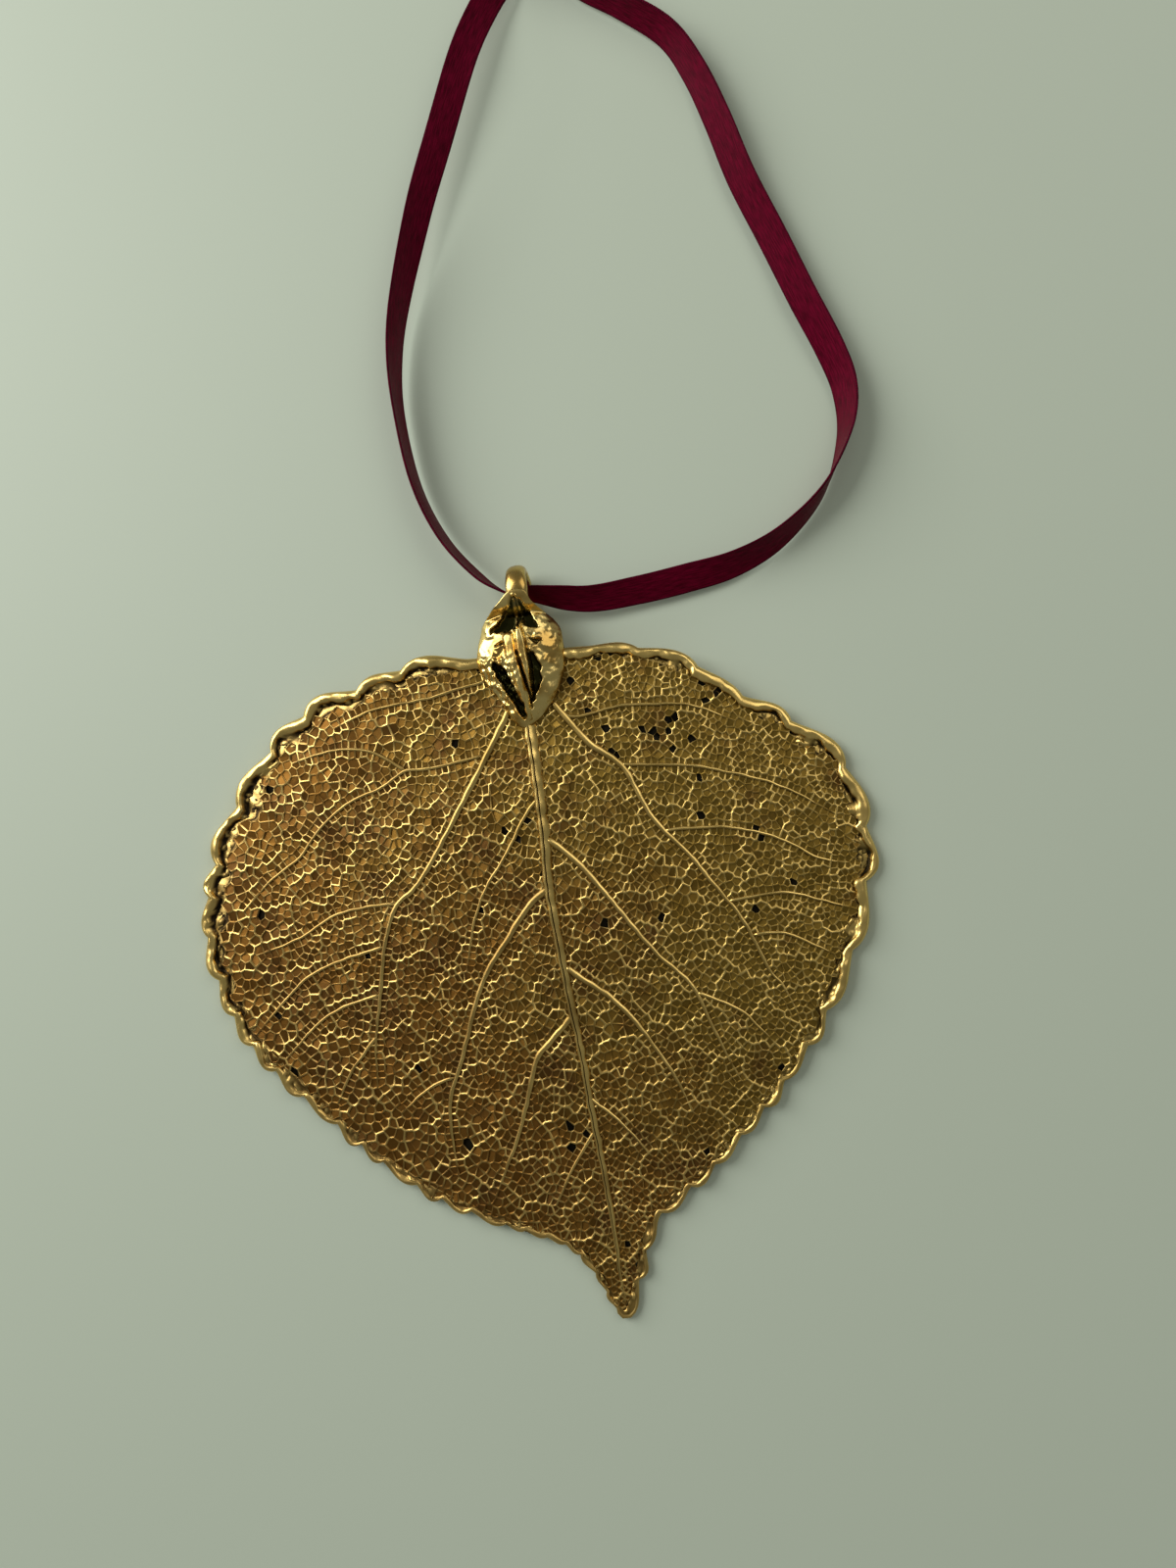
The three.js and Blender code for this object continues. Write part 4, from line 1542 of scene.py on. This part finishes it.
@dataclass(frozen=True)
class Stroke:
    """A tapering stroke on the cap's face, raised or sunken: x, y and radius in mm from the eye. Its
    shine sets the polish there; a shine of 0 paints the stroke near-black as shade.
    """

    points: tuple[tuple[float, float, float], ...]
    lift: float
    shine: float
    soft: float = 0.25

    def cover(self, x: float, y: float) -> float:
        """How much of the stroke covers a place.

        Args:
            x: Place across in mm from the eye.
            y: Place along in mm from the eye.

        Returns:
            1 in the stroke, 0 clear of it.
        """
        most = 0.0
        for (ax, ay, ar), (bx, by, br) in zip(self.points, self.points[1:]):
            dx, dy = bx - ax, by - ay
            t = min(1.0, max(0.0, ((x - ax) * dx + (y - ay) * dy) / (dx * dx + dy * dy)))
            away = math.hypot(x - ax - dx * t, y - ay - dy * t) - (ar + (br - ar) * t)
            most = max(most, 1.0 - smoothstep(-self.soft, self.soft, away))
        return most


@dataclass
class Cap:
    """The cap that grips the leaf's base: two plated shells, the strap loop and the solder.

    Heights are over the surface and places are from the eye, both in millimetres.
    """

    eye: Vector
    gold: bpy.types.Material
    front_foot: float
    front_top: float
    back_top: float
    loop_outer: float = 2.6
    loop_inner: float = 1.65
    loop_polish: float = 0.82
    rim_height: float = 0.75
    neck_reach: float = 3.0
    strap_reach: float = 2.72
    strap_half: float = 1.45
    strap_foot: float = -2.6
    middle: Share = (-0.5, -6.9)
    face_share: float = 0.84
    rings: int = 72
    spokes: int = 240
    front_outline: tuple[Share, ...] = (
        (-0.1, -0.2), (-0.95, -0.4), (-1.9, -1.2), (-3.1, -2.05), (-4.1, -2.85), (-4.6, -4.1),
        (-5.0, -5.3), (-5.3, -6.7), (-5.0, -8.0), (-4.4, -9.4), (-3.55, -10.8),
        (-2.85, -12.1), (-2.25, -13.3),
        (-1.5, -14.0), (-0.5, -13.95), (0.5, -13.3), (1.4, -12.4), (2.2, -11.5), (2.95, -10.2),
        (3.5, -8.9), (3.8, -7.3), (3.85, -5.7), (3.75, -4.4), (3.1, -3.3), (2.3, -2.5),
        (1.35, -1.5), (0.85, -0.5),
    )
    back_outline: tuple[Share, ...] = (
        (-0.8, -3.1), (-3.4, -3.4), (-4.6, -5.0), (-4.9, -7.0), (-4.2, -9.2), (-3.0, -11.2),
        (-1.4, -13.0), (-0.4, -13.4), (0.7, -12.7), (2.2, -11.0), (3.2, -8.8), (3.6, -6.6),
        (3.3, -4.6), (2.2, -3.4),
    )
    # Sunken strokes; most have shine 0 and are painted near-black as the shade inside the cap's openings.
    hollows: tuple[Stroke, ...] = (
        Stroke(((-0.45, -1.0, 0.08), (-1.25, -2.4, 0.42), (-2.1, -3.5, 0.5), (-3.2, -3.9, 0.18)),
               -1.6, 0.0, 0.12),
        Stroke(((-0.6, -1.6, 0.22), (-1.2, -3.1, 0.6), (-1.5, -3.9, 0.4)), -1.6, 0.0, 0.12),
        Stroke(((0.1, -1.2, 0.1), (0.4, -2.5, 0.45), (0.7, -3.5, 0.5), (1.5, -4.1, 0.12)),
               -1.6, 0.0, 0.12),
        Stroke(((-0.25, -1.2, 0.15), (-0.45, -2.8, 0.5), (-0.6, -3.8, 0.35)), -1.6, 0.0, 0.12),
        Stroke(((-3.4, -7.3, 0.15), (-2.75, -8.3, 0.55), (-1.95, -10.3, 0.5), (-1.3, -12.0, 0.35),
                (-0.95, -13.1, 0.1)), -1.0, 0.0, 0.15),
        Stroke(((0.3, -6.4, 0.1), (0.85, -8.0, 0.5), (0.75, -9.4, 0.46), (0.1, -11.5, 0.08)),
               -0.95, 0.0, 0.15),
        Stroke(((0.75, -5.3, 0.12), (1.3, -5.6, 0.2), (1.7, -5.5, 0.08)), -0.5, 0.1, 0.12),
        Stroke(((0.5, -4.7, 0.1), (0.9, -5.0, 0.24)), -0.3, 0.5, 0.2),
        Stroke(((-2.9, -5.6, 0.1), (-2.2, -5.3, 0.16)), -0.35, 0.3, 0.15),
    )
    ridges: tuple[Stroke, ...] = (
        Stroke(((-0.35, -0.9, 0.14), (-0.5, -2.2, 0.1), (-0.75, -4.3, 0.12)), 0.8, 0.35, 0.12),
        Stroke(((-1.5, -4.9, 0.5), (-1.4, -6.7, 0.52), (-0.95, -9.2, 0.4), (-0.6, -11.8, 0.2),
                (-0.4, -13.2, 0.1)), 0.35, 0.85, 0.22),
        Stroke(((-0.35, -3.8, 0.26), (-0.25, -5.2, 0.46), (-0.2, -6.3, 0.5), (0.0, -7.9, 0.36),
                (0.08, -10.4, 0.05)), 0.6, 1.0, 0.2),
        # A sunken groove, painted near-black as shade.
        Stroke(((-0.84, -6.4, 0.05), (-0.45, -8.7, 0.08), (-0.05, -10.9, 0.09), (-0.1, -12.2, 0.04)),
               -0.8, 0.0, 0.1),
    )

    def _front_relief(self, x: float, y: float, share: float) -> tuple[float, float]:
        """Sculpted face of the front shell.

        Args:
            x: Place across.
            y: Place along.
            share: Share from the middle to the outline.

        Returns:
            Height over the surface, and polish.
        """
        edge = max(0.0, 1.0 - share**7) ** 0.5
        crown = self.front_top - self.front_foot - self.rim_height
        plate = self.front_foot + (self.rim_height + crown * (1.0 - share * share)) * edge
        over_loop = self.eye.z / MM + max(0.0, self.neck_reach**2 - y * y) ** 0.5 - 0.15 * (1.0 - edge)
        neck = smoothstep(1.0, 0.0, abs(x + 0.25) - 1.0 + 0.9 * y) * smoothstep(-3.4, -1.6, y)
        strap = self.eye.z / MM + max(0.0, self.strap_reach**2 - y * y) ** 0.5
        strap = strap if abs(x) < self.strap_half and y > self.strap_foot else 0.0
        top = max(plate, self.front_foot + (over_loop - self.front_foot) * neck)
        shine = 0.9
        spot = Vector((x, y, 0.0))
        wander = noise.noise_vector(spot * 1.7) * 0.22
        sunken = 0.0
        # Each hollow takes its stroke's shine, mostly 0: near-black painted shade.
        for stroke in self.hollows:
            cover = stroke.cover(x + wander.x, y + wander.y)
            sunken = min(sunken, stroke.lift * cover)
            shine += (stroke.shine - shine) * cover
        top += sunken
        smooth_part = 0.0
        for stroke in self.ridges:
            cover = stroke.cover(x, y)
            top += stroke.lift * cover
            shine += (stroke.shine - shine) * cover
            smooth_part = max(smooth_part, cover)
        lower_left = smoothstep(0.5, -2.0, x - 0.35 * (y + 9.0)) * smoothstep(-5.5, -7.5, y)
        lumps = noise.noise(spot * 0.9) * 0.2 + noise.noise(spot * 2.2) * (0.07 + 0.26 * lower_left)
        rough = noise.noise(spot * 5.0) * smoothstep(0.5, 0.95, share) * (0.035 + 0.06 * lower_left)
        calm = 1.0 - max(0.8 * smooth_part, 0.9 * neck)
        return max(self.front_foot + 0.12, strap, top + (lumps + rough) * calm), shine

    def _back_relief(self, x: float, y: float, share: float) -> tuple[float, float]:
        """Plain lumpy face of the back shell, which rests on the surface.

        Args:
            x: Place across.
            y: Place along.
            share: Share from the middle to the outline.

        Returns:
            Height over the surface, and polish.
        """
        edge = max(0.0, 1.0 - share**6) ** 0.5
        lumps = noise.noise(Vector((x, y, 7.0)) * 1.6) * 0.1 * (1.0 - edge * edge)
        return max(0.0, 0.62 * (1.0 - edge) + lumps), 0.85

    def _shell(
        self,
        name: str,
        outline: tuple[Share, ...],
        relief: Callable[[float, float, float], tuple[float, float]],
        flat_side: Callable[[float, float, float], float],
    ) -> bpy.types.Object:
        """Makes one shell of the cap: a closed plate with one sculpted face.

        Args:
            name: The piece's name.
            outline: Its outline.
            relief: Gives the sculpted face's height and polish from x, y and the share outwards.
            flat_side: Gives the height of the other face from x, y and the share outwards.

        Returns:
            The shell.
        """
        edge = evenly(spline(np.array(outline), closed=True), self.spokes + 1, 2)[:-1]
        middle = np.array(self.middle)
        turn = self.face_share

        def spot(u: float, v: float) -> tuple[float, float, float, bool]:
            """Place of a corner in plan.

            Args:
                u: Share round the outline.
                v: Share from the middle of the sculpted face to the middle of the other.

            Returns:
                x, y, the share outwards, and whether it is on the other face.
            """
            other = v > turn + 1e-6
            share = 1.0 - (v - turn) / (1.0 - turn) if other else (v / turn) ** 0.8
            x, y = middle + (edge[round(u * self.spokes) % self.spokes] - middle) * share
            return float(x), float(y), share, other

        def place(u: float, v: float) -> Vector:
            """A point of the shell's skin.

            Args:
                u: Share round the outline.
                v: Share from face to face.

            Returns:
                The point.
            """
            x, y, share, other = spot(u, v)
            height = flat_side(x, y, share) if other else relief(x, y, share)[0]
            return Vector((self.eye.x + x * MM, self.eye.y + y * MM, height * MM))

        def crest(u: float, v: float) -> float:
            """Polish of a corner.

            Args:
                u: Share round the outline.
                v: Share from face to face.

            Returns:
                The polish.
            """
            x, y, share, other = spot(u, v)
            return 0.8 if other else relief(x, y, share)[1]

        bm = shaped_grid(self.spokes, self.rings, place, values={"crest": crest})
        return finished(name, bm, self.gold)

    def _loop(self) -> bpy.types.Object:
        """Bends the strap into the hanging loop, with its foot flared into the cap.

        Returns:
            The loop.
        """
        around, across = 112, 24
        middle = 0.5 * (self.loop_outer + self.loop_inner)
        half_wall = 0.5 * (self.loop_outer - self.loop_inner)

        def place(u: float, v: float) -> Vector:
            """A point of the loop's skin.

            Args:
                u: Share round the eye, from its far end over the top.
                v: Share round the strap's section.

            Returns:
                The point.
            """
            angle = 2.0 * math.pi * u
            foot = 0.5 - 0.5 * math.cos(angle)
            half_width = 0.95 + 0.16 * math.sin(angle) ** 2 + 0.3 * foot**4
            turn = 2.0 * math.pi * v
            c, s = math.cos(turn), math.sin(turn)
            side = math.copysign(abs(c) ** 0.62, c) * half_width
            out = math.copysign(abs(s) ** 0.8, s) * half_wall * (1.0 + 0.25 * (1.0 - abs(c)) * (s > 0))
            at = Vector((side, math.cos(angle), math.sin(angle)))
            bumps = 1.0 + 0.05 * noise.noise(at * 1.3)
            radius = middle + out * bumps
            return self.eye + Vector((side * bumps * MM, math.cos(angle) * radius * MM,
                                      math.sin(angle) * radius * MM))

        bm = shaped_grid(around, across, place, values={"crest": lambda u, v: self.loop_polish})
        return finished("cap_strap_loop", bm, self.gold)

    def _solder(self, name: str, box: tuple[Vector, Vector]) -> bpy.types.Object:
        """Makes one blob of solder, lumpy and plated over.

        Args:
            name: The piece's name.
            box: Its lowest and highest corners.

        Returns:
            The blob.
        """
        low, high = Vector(box[0]), Vector(box[1])
        half = (high - low) / 2
        bm = bmesh.new()
        layer = bm.verts.layers.float.new("crest")
        bmesh.ops.create_icosphere(bm, subdivisions=4, radius=1.0)
        for v in bm.verts:
            swell = 1.05 + 0.12 * noise.noise(v.co * 1.7)
            squared = Vector(math.copysign(abs(c) ** 0.8, c) for c in v.co)
            reach = Vector((squared.x * half.x, squared.y * half.y, squared.z * half.z))
            v.co = low + half + reach * swell
            v[layer] = 0.8
        return finished(name, bm, self.gold)

    def _under_front(self, x: float, y: float, share: float) -> float:
        """Height of the front shell's inner face, which clears the eye.

        Args:
            x: Place across.
            y: Place along.
            share: Share from the middle to the outline.

        Returns:
            The height.
        """
        clear = max(0.0, 2.1**2 - y * y) ** 0.5 * smoothstep(1.8, 1.2, abs(x))
        arch = max(self.front_foot, self.eye.z / MM + clear)
        return min(arch, self._front_relief(x, y, share)[0] - 0.15)

    def build(self) -> None:
        """Makes the cap's pieces and hides the plain ones of the frame."""
        made = {
            "cap_front": self._shell(
                "cap_front_plated", self.front_outline, self._front_relief, self._under_front
            ),
            "cap_back": self._shell(
                "cap_back_plated", self.back_outline, self._back_relief, lambda x, y, share: self.back_top
            ),
            "cap_loop": self._loop(),
            "solder_left": self._solder("solder_blob_left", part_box("solder_left")),
            "solder_right": self._solder("solder_blob_right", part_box("solder_right")),
        }
        for node, piece in made.items():
            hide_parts(node)
            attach(piece, "ornament")


def main() -> None:
    """Builds the studio, the ribbon, the leaf and the cap."""
    logging.basicConfig(level=logging.INFO, format="%(message)s")
    eye = Vector(frame["joints"][0]["pos_m"])
    Studio().build(eye)
    Ribbon(eye, RibbonSatin().make()).build()
    plating = plating_group()
    leaf_gold = LeafGold(plating).make()
    cap_gold = CapGold(plating).make()
    low, high = (Vector(corner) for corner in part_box("leaf_blade"))
    Leaf(eye, low, high, leaf_gold).build()
    front_low, front_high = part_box("cap_front")
    back_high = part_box("cap_back")[1]
    Cap(
        eye,
        cap_gold,
        front_foot=front_low[2] / MM - FRONT_SUNK,
        front_top=front_high[2] / MM,
        back_top=back_high[2] / MM + BACK_RAISED,
    ).build()
    stalk = bpy.data.objects["leaf_stalk"]
    for slot in stalk.material_slots:
        slot.material = leaf_gold


if __name__ == "__main__":
    main()
